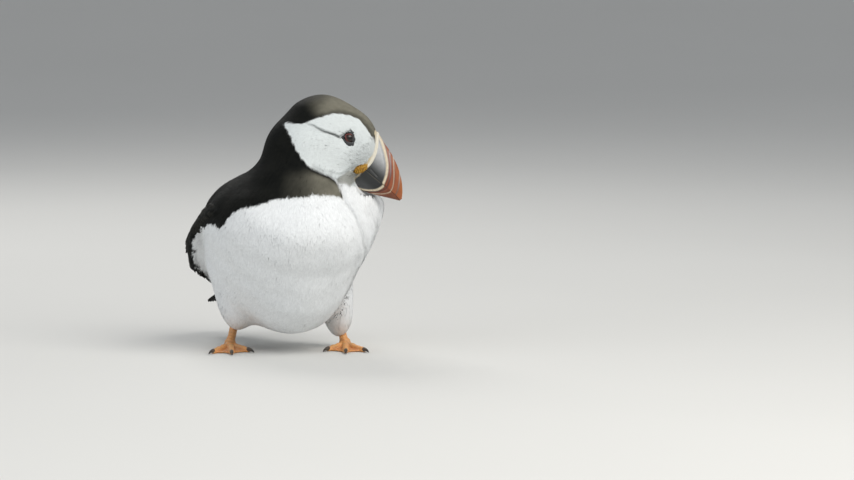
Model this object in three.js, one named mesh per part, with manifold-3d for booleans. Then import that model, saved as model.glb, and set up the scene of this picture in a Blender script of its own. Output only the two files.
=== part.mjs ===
// Atlantic puffin in summer plumage, life size, standing crouched with its head turned to its left.
// Millimetres, +Z up. The breast faces -Y, +X is the bird's left, and the soles stand on z = 0.
// The rounded body is one smooth blend of ellipsoids, parted by thin cuts where its parts meet.
import * as THREE from "three";
import { mergeVertices } from "three/addons/utils/BufferGeometryUtils.js";
import Module from "manifold-3d";

const wasm = await Module();
wasm.setup();

// Clearance between neighbouring parts.
const GAP = 0.3;

// How the trunk leans, tail down, and how far the head turns to the left and the bill points down.
const TRUNK_LEAN = 30;
const RUMP_LEAN = 34;
const TAIL_LEAN = 22;
const HEAD_TURN = 61;
const HEAD_DIP = 42;

// The corner of the mouth, on the head's middle plane. The head's own axes start here:
// x forward along the mouth's edge, y to the bird's left, z up.
const MOUTH_CORNER = [33.7, -41.2, 113.3];

// How softly the ellipsoids of a region, and then the regions, melt into each other.
const BLEND = { trunk: 10, head: 3.5, neck: 5, thigh: 3, body: 4 };
const TRUNK_SHRINK = 3;

// Bill: its upper edge (culmen), its lower edge (keel) and its half widths, in the head's axes.
const CULMEN = [[-12.5, 21.3], [4, 18.8], [19.5, 13.6], [27.7, 0.7]];
const KEEL = [[-3.3, -13.4], [6, -14], [17, -5.5], [27.4, -0.5]];
const MOUTH_BACK = -2.5;
const BILL_HALF_WIDTH = 7.2;
const BILL_TIP_HALF_WIDTH = 1.1;
const CERE_SHARE = 0.09;
const BILL_STEPS = 11;
const BILL_SIDE_POINTS = 5;

// Eye, its two horny plates and the wrinkled rosette, in the head's axes, for the left side.
const EYE = { at: [-22.8, 11.6, 8.6], radius: 4.3 };
const EYE_PLATES = {
  upper: { at: [-24, 12.9, 13.4], radii: [2.6, 1.4, 1.6], tilt: 24 },
  lower: { at: [-22.4, 15.7, 4.2], radii: [5, 1.4, 1.3], tilt: 4 },
};
const ROSETTE = { at: [-3.4, 7.2, -1.2], radii: [5.6, 2.4, 3], tilt: -48 };

// Folded wing: a layer of feathers laid over the side, from the shoulder to a tip over the tail.
// Its outline is seen from the side, as [y, z]: the tip, the shoulder and the handles of its curves.
// It stands proud of the body by WING_PROUD along its middle, and much less at its edge and at its front,
// which the flank's feathers cover.
const WING_PROUD = 7;
const WING_EDGE_PROUD = 1;
const WING_HALF_HEIGHT = 22;
const WING_FRONT_Y = -12;
const WING_FULL_Y = 36;
const WING_TIP = [99, 33];
const WING_SHOULDER = [-12, 84];
const WING_LOW_FRONT = [36, 43];
const WING_TOP_CURVE = [[16, 94], [60, 68]];
const WING_LOW_CURVE = [[74, 35], [52, 37]];
const WING_FRONT_CURVE = [[24, 51], [18, 80]];
const WING_CLEAR_OF_BACK = 5;

// Tail: a short closed fan.
const TAIL = { root: [1, 66, 39], length: 45, halfWidths: [9, 14], halfHeights: [4.5, 0.8] };

// Legs: the joint where the toes meet, the shank's upper end inside the thigh, and where the middle toe
// points (0 is straight ahead).
const LEGS = {
  left: { side: 1, toes: [37, -1, 0], ankle: [35, 8, 24], heading: -22 },
  right: { side: -1, toes: [-30, 24, 0], ankle: [-21, 32, 25], heading: -24 },
};
const TOES = [
  { name: "inner", length: 25, spread: 28, claw: 7 },
  { name: "middle", length: 34, spread: 2, claw: 8 },
  { name: "outer", length: 31, spread: -20, claw: 7 },
];
const TOE_RADIUS = 2.5;
const TOE_TIP_RADIUS = 1.7;
const KNUCKLE_RADIUS = 3.8;
const SOLE_PRESS = 0.5;
const WEB_THICKNESS = 1;
const WEB_HEIGHT = 0.7;
const TARSUS_HALF_WIDTH = 2.4;
const TARSUS_HALF_DEPTH = 3.2;
const CLAW_RADIUS = 1.3;

const HEAD_AXES = turned(HEAD_TURN - 90, 0).multiply(about([0, 1, 0], HEAD_DIP));

const COLOURS = {
  black: { color: 0x24221f, roughness: 0.8, metalness: 0 },
  white: { color: 0xe4e4df, roughness: 0.85, metalness: 0 },
  face: { color: 0xd3d6d4, roughness: 0.85, metalness: 0 },
  red: { color: 0xb8401c, roughness: 0.4, metalness: 0 },
  slate: { color: 0x46545f, roughness: 0.5, metalness: 0 },
  cream: { color: 0xd9c9a0, roughness: 0.5, metalness: 0 },
  yellow: { color: 0xd79a1e, roughness: 0.55, metalness: 0 },
  orange: { color: 0xd9641b, roughness: 0.55, metalness: 0 },
  claw: { color: 0x1c1917, roughness: 0.35, metalness: 0 },
  eye: { color: 0x1a120e, roughness: 0.08, metalness: 0 },
};

/** A turn by so many degrees about an axis. */
function about(axis, degrees) {
  const angle = THREE.MathUtils.degToRad(degrees);
  return new THREE.Quaternion().setFromAxisAngle(new THREE.Vector3(...axis), angle);
}

/** A turn that swings about the upright and then lets the rear end of its own y axis down. */
function turned(swing, lean) {
  return about([0, 0, 1], swing).multiply(about([1, 0, 0], -lean));
}

/** A point given in the head's axes, in the bird's own. */
function onHead(point) {
  return new THREE.Vector3(...point).applyQuaternion(HEAD_AXES).add(new THREE.Vector3(...MOUTH_CORNER));
}

/** An ellipsoid of the blend: centre, half axes and turn. */
function ellipsoid(centre, radii, turn = new THREE.Quaternion()) {
  return { centre: new THREE.Vector3(...centre), radii: new THREE.Vector3(...radii), turn };
}

/** An ellipsoid placed and turned with the head. */
function headEllipsoid(centre, radii) {
  return ellipsoid(onHead(centre).toArray(), radii, HEAD_AXES);
}

const lean = turned(0, TRUNK_LEAN);
const REGIONS = {
  trunk: [
    ellipsoid([0, 12, 62], [44, 56, 38], lean),
    ellipsoid([-1, -34, 75.5], [36, 34, 26]),
    ellipsoid([30, -14, 90], [24.5, 28, 21]),
    ellipsoid([-30, -8, 82], [24, 34, 23]),
    ellipsoid([-1.5, -8, 46.5], [31, 39, 37]),
    ellipsoid([0, 28, 79], [38, 42, 22], lean),
    ellipsoid([0, 62, 43], [20, 35, 16], turned(0, RUMP_LEAN)),
  ],
  head: [
    headEllipsoid([-40, 0, 1], [19.5, 16, 20.5]),
    headEllipsoid([-23.5, 0, 9.8], [15, 9.8, 13.8]),
    headEllipsoid([-16, 0, 2], [11, 8.5, 15]),
    headEllipsoid([-29, 6.5, -5.5], [18, 9.5, 13]),
    headEllipsoid([-29, -6.5, -5.5], [18, 9.5, 13]),
  ],
  neck: [ellipsoid([-4, -23, 126], [20, 22, 20]), ellipsoid([-1, -21, 103], [31, 33, 22])],
  thigh: [ellipsoid([34, 2, 26], [8, 12, 19]), ellipsoid([-27, 20, 31], [10, 14, 19])],
};

/** About how far a point is outside an ellipsoid; below zero inside. */
function ellipsoidDistance(point, { centre, radii, turn }) {
  const local = point.clone().sub(centre).applyQuaternion(turn.clone().invert());
  const once = local.clone().divide(radii).length();
  const twice = local.divide(radii).divide(radii).length();
  return twice > 1e-9 ? (once * (once - 1)) / twice : -Math.min(...radii.toArray());
}

/** The smallest of some distances, rounded off where two are close. */
function blended(distances, softness) {
  const least = Math.min(...distances);
  const sum = distances.reduce((total, d) => total + Math.exp((least - d) / softness), 0);
  return least - softness * Math.log(sum);
}

/** Distance to a list of ellipsoids blended into one. */
function regionDistance(point, ellipsoids, softness) {
  const distances = ellipsoids.map((one) => ellipsoidDistance(point, one));
  return blended(distances, softness);
}

/** Distance to the feathered body: trunk, head, neck and thighs in one. */
function bodyDistance(point) {
  const regions = Object.entries(REGIONS).map(([name, ellipsoids]) => {
    const shrink = name === "trunk" ? TRUNK_SHRINK : 0;
    return regionDistance(point, ellipsoids, BLEND[name]) + shrink;
  });
  return blended(regions, BLEND.body);
}

/** A closed geometry as a solid that can be joined and cut. */
function solid(geometry) {
  const bare = new THREE.BufferGeometry().setAttribute("position", geometry.getAttribute("position"));
  const shell = mergeVertices(bare.setIndex(geometry.index), 1e-4);
  return new wasm.Manifold(
    new wasm.Mesh({
      numProp: 3,
      vertProperties: shell.getAttribute("position").array,
      triVerts: new Uint32Array(shell.index.array),
    }),
  );
}

/** A solid's surface as a geometry for drawing. */
function geometryOf(body) {
  const mesh = body.getMesh();
  const position = new THREE.BufferAttribute(new Float32Array(mesh.vertProperties), 3);
  const geometry = new THREE.BufferGeometry().setAttribute("position", position);
  geometry.setIndex(new THREE.BufferAttribute(new Uint32Array(mesh.triVerts), 1));
  geometry.computeVertexNormals();
  return geometry;
}

/**
 * A sphere pushed out from a point inside a form to the form's surface, which lies where its distance
 * equals grow. The sphere is first stretched and turned so that its faces come out even.
 */
function wrap(distance, centre, { stretch, turn, across, down, grow = 0 }) {
  const sphere = new THREE.SphereGeometry(1, across, down);
  const spots = sphere.getAttribute("position");
  const middle = new THREE.Vector3(...centre);
  for (let i = 0; i < spots.count; i += 1) {
    const way = new THREE.Vector3().fromBufferAttribute(spots, i);
    way.multiply(new THREE.Vector3(...stretch)).applyQuaternion(turn).normalize();
    const reach = surfaceReach(distance, middle, way, grow);
    const spot = middle.clone().addScaledVector(way, reach);
    spots.setXYZ(i, spot.x, spot.y, spot.z);
  }
  return solid(sphere);
}

/** How far from a point inside a form its surface lies in one direction. */
function surfaceReach(distance, middle, way, grow) {
  const STRIDE = 1.5;
  const HALVINGS = 14;
  const at = (reach) => distance(middle.clone().addScaledVector(way, reach)) - grow;
  let inside = 0;
  while (at(inside + STRIDE) < 0) {
    inside += STRIDE;
  }
  let outside = inside + STRIDE;
  for (let i = 0; i < HALVINGS; i += 1) {
    const half = (inside + outside) / 2;
    if (at(half) < 0) {
      inside = half;
    } else {
      outside = half;
    }
  }
  return inside;
}

/** The largest of the bodies that a cut leaves, without the slivers beside it. */
function largest(body) {
  return body.decompose().reduce((most, one) => (one.volume() > most.volume() ? one : most));
}

/** A closed skin through rings of equally many points, with a fan over each end. */
function loft(rings) {
  const across = rings[0].length;
  const middle = (ring) => ring.reduce((sum, p) => sum.add(p), new THREE.Vector3()).divideScalar(across);
  const points = [...rings.flat(), middle(rings[0]), middle(rings.at(-1))];
  const first = points.length - 2;
  const last = points.length - 1;
  const end = (rings.length - 1) * across;
  const faces = [];
  for (let i = 0; i < across; i += 1) {
    const next = (i + 1) % across;
    for (let ring = 0; ring < end; ring += across) {
      faces.push(ring + i, ring + next, ring + across + next);
      faces.push(ring + i, ring + across + next, ring + across + i);
    }
    faces.push(first, next, i);
    faces.push(last, end + i, end + next);
  }
  const geometry = new THREE.BufferGeometry().setFromPoints(points).setIndex(faces);
  const made = solid(geometry);
  return made.volume() > 0 ? made : solid(geometry.setIndex(faces.reverse()));
}

/** A ring of points on an ellipse with its plane square to a direction, its half height upwards. */
function ring(centre, direction, halfWidth, halfHeight, points = 12) {
  const side = new THREE.Vector3().crossVectors(direction, new THREE.Vector3(0, 0, 1)).normalize();
  const up = new THREE.Vector3().crossVectors(side, direction).normalize();
  return Array.from({ length: points }, (_, i) => {
    const angle = (i / points) * 2 * Math.PI;
    return centre
      .clone()
      .addScaledVector(side, halfWidth * Math.cos(angle))
      .addScaledVector(up, halfHeight * Math.sin(angle));
  });
}

/** The half of space on the far side of a plane, as a large block. */
function beyond(point, normal) {
  const SIZE = 600;
  const block = new THREE.BoxGeometry(SIZE, SIZE, SIZE).translate(0, 0, SIZE / 2);
  const up = new THREE.Vector3(0, 0, 1);
  const turn = new THREE.Quaternion().setFromUnitVectors(up, new THREE.Vector3(...normal).normalize());
  const place = new THREE.Matrix4().compose(new THREE.Vector3(...point), turn, new THREE.Vector3(1, 1, 1));
  return solid(block.applyMatrix4(place));
}

/** An ellipsoid as a solid, made larger all round by grow. */
function ball({ centre, radii, turn }, grow = 0, across = 8, down = 6) {
  const sphere = new THREE.SphereGeometry(1, across, down);
  sphere.scale(...radii.clone().addScalar(grow).toArray());
  return solid(sphere.applyQuaternion(turn).translate(...centre.toArray()));
}

/** A small form of the head on one side, tilted in the head's side plane. */
function sidePiece({ at, radii, tilt = 0 }, side) {
  const turn = HEAD_AXES.clone().multiply(about([0, 1, 0], tilt));
  return ellipsoid(onHead([at[0], at[1] * side, at[2]]).toArray(), radii, turn);
}

/** A point of a curve given by four handles in the head's middle plane. */
function onCurve(handles, share) {
  const spots = handles.map(([x, z]) => new THREE.Vector2(x, z));
  return new THREE.CubicBezierCurve(...spots).getPoint(share);
}

/**
 * One half of the bill between two shares of its length, made larger all round by grow. Each ring is a
 * slice from the mouth's edge (foot) to the outer edge, which narrows towards that edge and the tip.
 */
function billHalf(edge, side, from, to, grow = 0) {
  const TIP_END = 0.985;
  const rings = [];
  for (let step = 0; step <= BILL_STEPS; step += 1) {
    const share = Math.min(from + ((to - from) * step) / BILL_STEPS, TIP_END);
    const outer = onCurve(edge, share);
    const foot = new THREE.Vector2(THREE.MathUtils.lerp(MOUTH_BACK, 27.4, share), 0.7 * share);
    const width = BILL_TIP_HALF_WIDTH + (BILL_HALF_WIDTH - BILL_TIP_HALF_WIDTH) * (1 - share) ** 0.8 + grow;
    foot.y += side * (GAP / 2 - grow);
    outer.add(outer.clone().sub(foot).setLength(grow));
    const slice = (height, half) => {
      const spot = foot.clone().lerp(outer, height);
      return onHead([spot.x, half, spot.y]);
    };
    const halfWidth = (height) => width * (1 - 0.62 * height ** 1.3) * Math.sqrt(1 - height ** 8);
    const heights = Array.from({ length: BILL_SIDE_POINTS }, (_, i) => i / BILL_SIDE_POINTS);
    const left = heights.map((height) => slice(height, halfWidth(height)));
    const right = heights.map((height) => slice(height, -halfWidth(height))).reverse();
    rings.push([...left, slice(1, 0), ...right]);
  }
  return loft(rings);
}

/** The side outline of the folded wing, driven through one side of the bird as a block. */
function wingBlock(side) {
  const WIDTH = 90;
  const outline = new THREE.Shape();
  outline.moveTo(...WING_SHOULDER);
  outline.bezierCurveTo(...WING_TOP_CURVE.flat(), ...WING_TIP);
  outline.bezierCurveTo(...WING_LOW_CURVE.flat(), ...WING_LOW_FRONT);
  outline.bezierCurveTo(...WING_FRONT_CURVE.flat(), ...WING_SHOULDER);
  const solidWay = { depth: WIDTH, bevelEnabled: false, curveSegments: 12 };
  const block = new THREE.ExtrudeGeometry(outline, solidWay);
  const sideways = new THREE.Matrix4().makeBasis(
    new THREE.Vector3(0, 1, 0),
    new THREE.Vector3(0, 0, 1),
    new THREE.Vector3(1, 0, 0),
  );
  const start = side > 0 ? WING_CLEAR_OF_BACK : -WING_CLEAR_OF_BACK - WIDTH;
  return solid(block.applyMatrix4(sideways).translate(start, 0, 0));
}

/** The folded wing of one side: the part of a layer over the body that its outline cuts out. */
function wing(side, layer, trunkRoom) {
  return largest(wingBlock(side).intersect(layer).subtract(trunkRoom));
}

/** The closed fan of the tail, thin and round at its end. */
function tail(keepOff) {
  const STEPS = 8;
  const back = new THREE.Vector3(0, 1, 0).applyQuaternion(turned(0, TAIL_LEAN));
  const rings = Array.from({ length: STEPS + 1 }, (_, i) => {
    const share = i / STEPS;
    const centre = new THREE.Vector3(...TAIL.root).addScaledVector(back, TAIL.length * share ** 0.8);
    const roundEnd = Math.sqrt(Math.max(1 - share ** 5, 0.1));
    const halfWidth = THREE.MathUtils.lerp(...TAIL.halfWidths, share) * roundEnd;
    return ring(centre, back, halfWidth, THREE.MathUtils.lerp(...TAIL.halfHeights, share), 12);
  });
  return loft(rings).subtract(keepOff);
}

/** The direction, level with the floor, in which a toe of a leg points. */
function toeWay({ side, heading }, { spread }) {
  return new THREE.Vector3(0, -1, 0).applyQuaternion(about([0, 0, 1], heading - side * spread));
}

/** A toe that comes down from the knuckle and lies along the floor. */
function toe(leg, digit) {
  const STEPS = 3;
  const way = toeWay(leg, digit);
  const rings = Array.from({ length: STEPS + 1 }, (_, i) => {
    const share = i / STEPS;
    const radius = THREE.MathUtils.lerp(TOE_RADIUS, TOE_TIP_RADIUS, share);
    const centre = new THREE.Vector3(...leg.toes).addScaledVector(way, digit.length * share);
    centre.z = radius - SOLE_PRESS;
    return ring(centre, way, radius, radius, 8);
  });
  return loft(rings);
}

/** The web between two toes, with its front edge drawn in. */
function web(leg, one, other) {
  const ends = [one, other].map((digit) => toeWay(leg, digit).multiplyScalar(digit.length * 0.92));
  const dip = ends[0].clone().add(ends[1]).multiplyScalar(0.41);
  const outline = new THREE.Shape();
  outline.moveTo(0, 0);
  outline.lineTo(ends[0].x, ends[0].y);
  outline.quadraticCurveTo(dip.x, dip.y, ends[1].x, ends[1].y);
  outline.closePath();
  const sheet = { depth: WEB_THICKNESS, bevelEnabled: false, curveSegments: 4 };
  const plate = new THREE.ExtrudeGeometry(outline, sheet);
  return solid(plate.translate(leg.toes[0], leg.toes[1], WEB_HEIGHT));
}

/** The shank between the ankle and the toes, thicker fore and aft. */
function tarsus(leg) {
  const STEPS = 3;
  const top = new THREE.Vector3(...leg.ankle);
  const foot = new THREE.Vector3(...leg.toes).setZ(KNUCKLE_RADIUS - SOLE_PRESS);
  const rings = Array.from({ length: STEPS + 1 }, (_, i) => {
    const share = i / STEPS;
    const swell = 1 + 0.35 * share ** 2;
    return ring(
      foot.clone().lerp(top, share),
      top.clone().sub(foot),
      TARSUS_HALF_WIDTH * swell,
      TARSUS_HALF_DEPTH * swell,
      10,
    );
  });
  return loft(rings);
}

/** Foot: shank, knuckle, toes and webs in one, flat where it meets the floor. */
function foot(leg, keepOff) {
  const [inner, middle, outer] = TOES;
  const knuckleHeight = KNUCKLE_RADIUS - SOLE_PRESS;
  const knuckle = ball(
    ellipsoid([leg.toes[0], leg.toes[1], knuckleHeight], [KNUCKLE_RADIUS, KNUCKLE_RADIUS, KNUCKLE_RADIUS]),
  );
  const webs = [web(leg, inner, middle), web(leg, middle, outer)];
  const toes = TOES.map((digit) => toe(leg, digit));
  const joined = [tarsus(leg), ...webs, ...toes].reduce((sum, piece) => sum.add(piece), knuckle);
  return largest(joined.intersect(beyond([0, 0, 0], [0, 0, 1])).subtract(keepOff));
}

/** Claw: a horn that leaves the end of a toe and curves down. */
function claw(leg, digit) {
  const STEPS = 4;
  const way = toeWay(leg, digit);
  const start = new THREE.Vector3(...leg.toes).addScaledVector(way, digit.length + GAP);
  start.setZ(CLAW_RADIUS + 0.5);
  const bend = start.clone().addScaledVector(way, digit.claw * 0.6).setZ(CLAW_RADIUS + 1.2);
  const point = start.clone().addScaledVector(way, digit.claw).setZ(0.5);
  const path = new THREE.QuadraticBezierCurve3(start, bend, point);
  const rings = Array.from({ length: STEPS + 1 }, (_, i) => {
    const share = i / STEPS;
    const radius = THREE.MathUtils.lerp(CLAW_RADIUS, 0.3, share);
    return ring(path.getPoint(share), path.getTangent(share), radius * 0.8, radius, 6);
  });
  return loft(rings);
}

/** A form of the trunk seen from its middle, made larger all round by grow. */
function wrapTrunk(distance, grow = 0) {
  return wrap(distance, [0, 4, 66], { stretch: [0.8, 1, 0.75], turn: lean, across: 32, down: 22, grow });
}

/** Distance to the outside of the wing layer: thickest along the wing's middle, thin all round its edge. */
function wingDistance(point) {
  const full = THREE.MathUtils.smoothstep(point.y, WING_FRONT_Y, WING_FULL_Y);
  const share = (point.y - WING_SHOULDER[0]) / (WING_TIP[0] - WING_SHOULDER[0]);
  const middle = THREE.MathUtils.lerp(WING_SHOULDER[1], WING_TIP[1], share);
  const camber = Math.max(1 - ((point.z - middle) / WING_HALF_HEIGHT) ** 2, 0);
  return bodyDistance(point) - THREE.MathUtils.lerp(WING_EDGE_PROUD, WING_PROUD, full * camber);
}

/** A named mesh of one part. */
function part(name, body, colour) {
  const mesh = new THREE.Mesh(geometryOf(body), new THREE.MeshStandardMaterial(COLOURS[colour]));
  mesh.name = name;
  return mesh;
}

const SIDES = { left: 1, right: -1 };

// The collar parts the head from the neck, and the shoulder line parts the neck from the trunk.
const COLLAR = { at: [4, -23, 112.5], normal: [0.25, -0.1, 0.96] };
const SHOULDERS = { at: [0, -22, 97], normal: [0, -0.28, 0.96] };

/** The two sides of a thin cut: above it and below it. */
function parting({ at, normal }) {
  const down = normal.map((value) => -value);
  const lower = at.map((value, i) => value + down[i] * GAP);
  return { above: beyond(at, normal), below: beyond(lower, down) };
}

const collar = parting(COLLAR);
const shoulders = parting(SHOULDERS);

// Eyes, plates, rosettes and bill sit in hollows of the head.
const pieces = [];
const hollows = [];
for (const [sideName, side] of Object.entries(SIDES)) {
  const eye = ellipsoid(
    onHead([EYE.at[0], EYE.at[1] * side, EYE.at[2]]).toArray(),
    [EYE.radius, EYE.radius, EYE.radius],
  );
  const eyeRoom = ball(eye, GAP, 12, 8);
  pieces.push(part(`eye_${sideName}`, ball(eye, 0, 12, 8), "eye"));
  hollows.push(eyeRoom);
  for (const [plateName, plate] of Object.entries(EYE_PLATES)) {
    const form = sidePiece(plate, side);
    pieces.push(part(`eye_plate_${plateName}_${sideName}`, ball(form).subtract(eyeRoom), "slate"));
    hollows.push(ball(form, GAP));
  }
}
const upperRoom = billHalf(CULMEN, 1, 0, 1, GAP);
const lowerRoom = billHalf(KEEL, -1, 0, 1, GAP);
for (const [sideName, side] of Object.entries(SIDES)) {
  const form = sidePiece(ROSETTE, side);
  pieces.push(part(`rosette_${sideName}`, ball(form).subtract(upperRoom).subtract(lowerRoom), "yellow"));
  hollows.push(ball(form, GAP));
}
pieces.push(part("cere", billHalf(CULMEN, 1, 0, CERE_SHARE), "cream"));
pieces.push(part("bill_upper", billHalf(CULMEN, 1, CERE_SHARE + 0.01, 1), "red"));
pieces.push(part("bill_lower", billHalf(KEEL, -1, 0, 1), "red"));
hollows.push(upperRoom, lowerRoom);

// The feathered parts.
const upperView = { stretch: [1, 1, 1], turn: new THREE.Quaternion(), across: 32, down: 24 };
const upperWhole = wrap(bodyDistance, [4, -25, 123], upperView).intersect(shoulders.above);
const upper = hollows.reduce((left, hollow) => left.subtract(hollow), upperWhole);
const head = upper.intersect(collar.above);
const neck = upper.intersect(collar.below);
const thighCutters = REGIONS.thigh.map((form) => [ball(form, 2.5, 12, 8), ball(form, 2.5 + GAP, 12, 8)]);
const trunkWhole = wrapTrunk(bodyDistance);
const trunkRoom = wrapTrunk(bodyDistance, GAP);
const trunk = thighCutters
  .reduce((left, [, room]) => left.subtract(room), trunkWhole)
  .intersect(shoulders.below);
pieces.push(part("head", head, "face"), part("neck", neck, "black"), part("trunk", trunk, "white"));

// Wings, tail and legs.
const wingLayer = wrapTrunk(wingDistance);
Object.entries(SIDES).forEach(([name, side]) => {
  pieces.push(part(`wing_${name}`, wing(side, wingLayer, trunkRoom), "black"));
});
const wingRoom = Object.values(SIDES).reduce((sum, side) => sum.add(wingBlock(side)), trunkRoom);
pieces.push(part("tail", tail(wingRoom), "black"));
Object.entries(LEGS).forEach(([name, leg], i) => {
  pieces.push(part(`thigh_${name}`, trunkWhole.intersect(thighCutters[i][0]), "white"));
  pieces.push(part(`foot_${name}`, foot(leg, trunkRoom), "orange"));
  TOES.forEach((digit) => pieces.push(part(`claw_${digit.name}_${name}`, claw(leg, digit), "claw")));
});

// The part's origin is under the middle of its bounding box, on the floor.
const puffin = new THREE.Group();
puffin.add(...pieces);
const box = new THREE.Box3().setFromObject(puffin, true);
const middle = box.getCenter(new THREE.Vector3());
puffin.children.forEach((mesh) => mesh.position.set(-middle.x, -middle.y, 0));

export default puffin;
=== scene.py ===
"""Atlantic puffin in summer plumage, life size: the looks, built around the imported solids.

Shapes are worked out in millimetres in the bird's own axes (the breast faces -Y, the bird's left is +X,
the floor is z = 0) or in the head's axes (x forward along the mouth's edge, y to the left, z up, from
the corner of the mouth), and they go into the meshes in metres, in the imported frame.
"""

import logging
import math
from collections.abc import Callable, Sequence
from dataclasses import dataclass, field
from enum import Enum

import bpy
import numpy as np
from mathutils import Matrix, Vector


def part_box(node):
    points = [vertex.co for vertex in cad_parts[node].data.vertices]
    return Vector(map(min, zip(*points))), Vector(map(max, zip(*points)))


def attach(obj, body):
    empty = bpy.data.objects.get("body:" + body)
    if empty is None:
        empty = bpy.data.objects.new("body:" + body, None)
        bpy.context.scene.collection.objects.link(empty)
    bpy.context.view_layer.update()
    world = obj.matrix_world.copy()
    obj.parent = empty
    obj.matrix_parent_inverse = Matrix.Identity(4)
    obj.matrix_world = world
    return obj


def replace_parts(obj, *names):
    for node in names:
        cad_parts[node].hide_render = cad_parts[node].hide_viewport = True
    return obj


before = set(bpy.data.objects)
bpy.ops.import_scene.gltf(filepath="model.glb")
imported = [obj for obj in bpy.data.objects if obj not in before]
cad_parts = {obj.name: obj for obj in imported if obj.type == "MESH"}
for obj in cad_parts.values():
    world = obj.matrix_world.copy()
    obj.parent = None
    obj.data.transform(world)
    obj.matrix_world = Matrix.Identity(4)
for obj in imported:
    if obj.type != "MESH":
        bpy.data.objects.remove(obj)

Array = np.ndarray
MM = 0.001
log = logging.getLogger("puffin")


# ----------------------------------------
# Turns, curves and small numeric helpers
# ----------------------------------------


def about(axis: int, degrees: float) -> Array:
    """The matrix of a right-handed turn about the x (0), y (1) or z (2) axis.

    Args:
        axis: 0, 1 or 2.
        degrees: How far it turns.

    Returns:
        The matrix.
    """
    angle = math.radians(degrees)
    matrix = np.eye(3)
    one, two = (axis + 1) % 3, (axis + 2) % 3
    matrix[one, one] = matrix[two, two] = math.cos(angle)
    matrix[two, one] = math.sin(angle)
    matrix[one, two] = -math.sin(angle)
    return matrix


def between(ends: Sequence[float], share: Array) -> Array:
    """Numbers on the way from the first end (share 0) to the second (share 1)."""
    return ends[0] + (ends[1] - ends[0]) * share


def evened(row: Array) -> Array:
    """A row of numbers, each the mean of the nine around it, with its ends held."""
    return np.convolve(np.pad(row, 4, mode="edge"), np.ones(9) / 9, "valid")


def full_turn(count: int) -> Array:
    """So many angles evenly around a circle, in radians."""
    return np.linspace(0, 2 * math.pi, count, endpoint=False)


def turned(swing: float, lean: float) -> Array:
    """A turn that swings about the upright and then lets the rear end of its own y axis down."""
    return about(2, swing) @ about(0, -lean)


def unit(vectors: Array) -> Array:
    """The vectors scaled to length one."""
    return vectors / np.maximum(np.linalg.norm(vectors, axis=-1, keepdims=True), 1e-12)


def step(low: float, high: float, value: Array) -> Array:
    """A smooth rise from 0 at low to 1 at high: 3t^2 - 2t^3, where t is the clipped share between them."""
    share = np.clip((value - low) / (high - low), 0.0, 1.0)
    return share * share * (3.0 - 2.0 * share)


def ramp(share: Array, *stops: tuple[float, float]) -> Array:
    """A broken line through (share, value) stops."""
    places, values = zip(*stops)
    return np.interp(share, places, values)


def bezier(handles: Sequence[Sequence[float]], share: Array) -> Array:
    """Points of a cubic Bezier curve, the sum of its four handles with their Bernstein weights.

    Args:
        handles: The four handles, in any number of dimensions.
        share: Where along the curve, from 0 to 1.

    Returns:
        One point for each share.
    """
    spots = np.asarray(handles, float)
    s = np.asarray(share, float)[..., None]
    return (
        spots[0] * (1 - s) ** 3
        + spots[1] * 3 * s * (1 - s) ** 2
        + spots[2] * 3 * s**2 * (1 - s)
        + spots[3] * s**3
    )


def rounded(corners: Sequence[Array], fine: int) -> Array:
    """Catmull-Rom curves, each from its second corner to its third, steered by the first and the fourth.

    Args:
        corners: The first, second, third and fourth corner of every curve.
        fine: Points on each curve.

    Returns:
        The points of all, one curve after the other.
    """
    before, here, after, later = (corner[:, None] for corner in corners)
    s = (np.arange(fine) / fine)[None, :, None]
    curve = 0.5 * (
        2 * here
        + (after - before) * s
        + (2 * before - 5 * here + 4 * after - later) * s**2
        + (3 * here - before - 3 * after + later) * s**3
    )
    return curve.reshape(-1, 2)


def ripple(points: Array, length: float, seed: int, waves: int = 6) -> Array:
    """Smooth noise between about -1 and 1: a sum of sine waves with seeded ways and phases.

    Args:
        points: Where it is wanted, in millimetres.
        length: The middle wavelength, in millimetres.
        seed: Which noise.
        waves: How many sine waves are summed.

    Returns:
        One value for each point.
    """
    rng = np.random.default_rng(seed)
    ways = unit(rng.normal(size=(waves, 3))) * (2 * math.pi / length) * rng.uniform(0.6, 1.7, (waves, 1))
    phases = rng.uniform(0, 2 * math.pi, waves)
    return np.sin(points @ ways.T + phases).sum(-1) / math.sqrt(waves)


@dataclass(frozen=True)
class Outline:
    """A closed line in a plane.

    Attributes:
        spots: Its corners, in order.
    """

    spots: Array

    @staticmethod
    def through(spots: Sequence[Sequence[float]], fine: int = 8) -> "Outline":
        """A rounded outline through corners: a Catmull-Rom curve with so many points a side.

        Args:
            spots: The corners, in order.
            fine: How many points each side gets.

        Returns:
            The outline.
        """
        corners = np.asarray(spots, float)
        return Outline(rounded([np.roll(corners, k, 0) for k in (1, 0, -1, -2)], fine))

    def distance(self, points: Array) -> Array:
        """How far points lie outside the line, and below zero how far inside.

        Args:
            points: Points of the plane.

        Returns:
            The least distance to a side, with its sign from the number of sides crossed.
        """
        least = np.full(len(points), np.inf)
        inside = np.zeros(len(points), bool)
        x, y = points.T
        for start, end in zip(self.spots, np.roll(self.spots, -1, 0)):
            way = end - start
            away = points - start
            share = np.clip(away @ way / max(way @ way, 1e-12), 0, 1)
            least = np.minimum(least, np.linalg.norm(away - share[:, None] * way, axis=1))
            crosses = (start[1] > y) != (end[1] > y)
            inside ^= crosses & (x < start[0] + way[0] * (y - start[1]) / (way[1] or 1e-12))
        return np.where(inside, -least, least)


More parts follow.
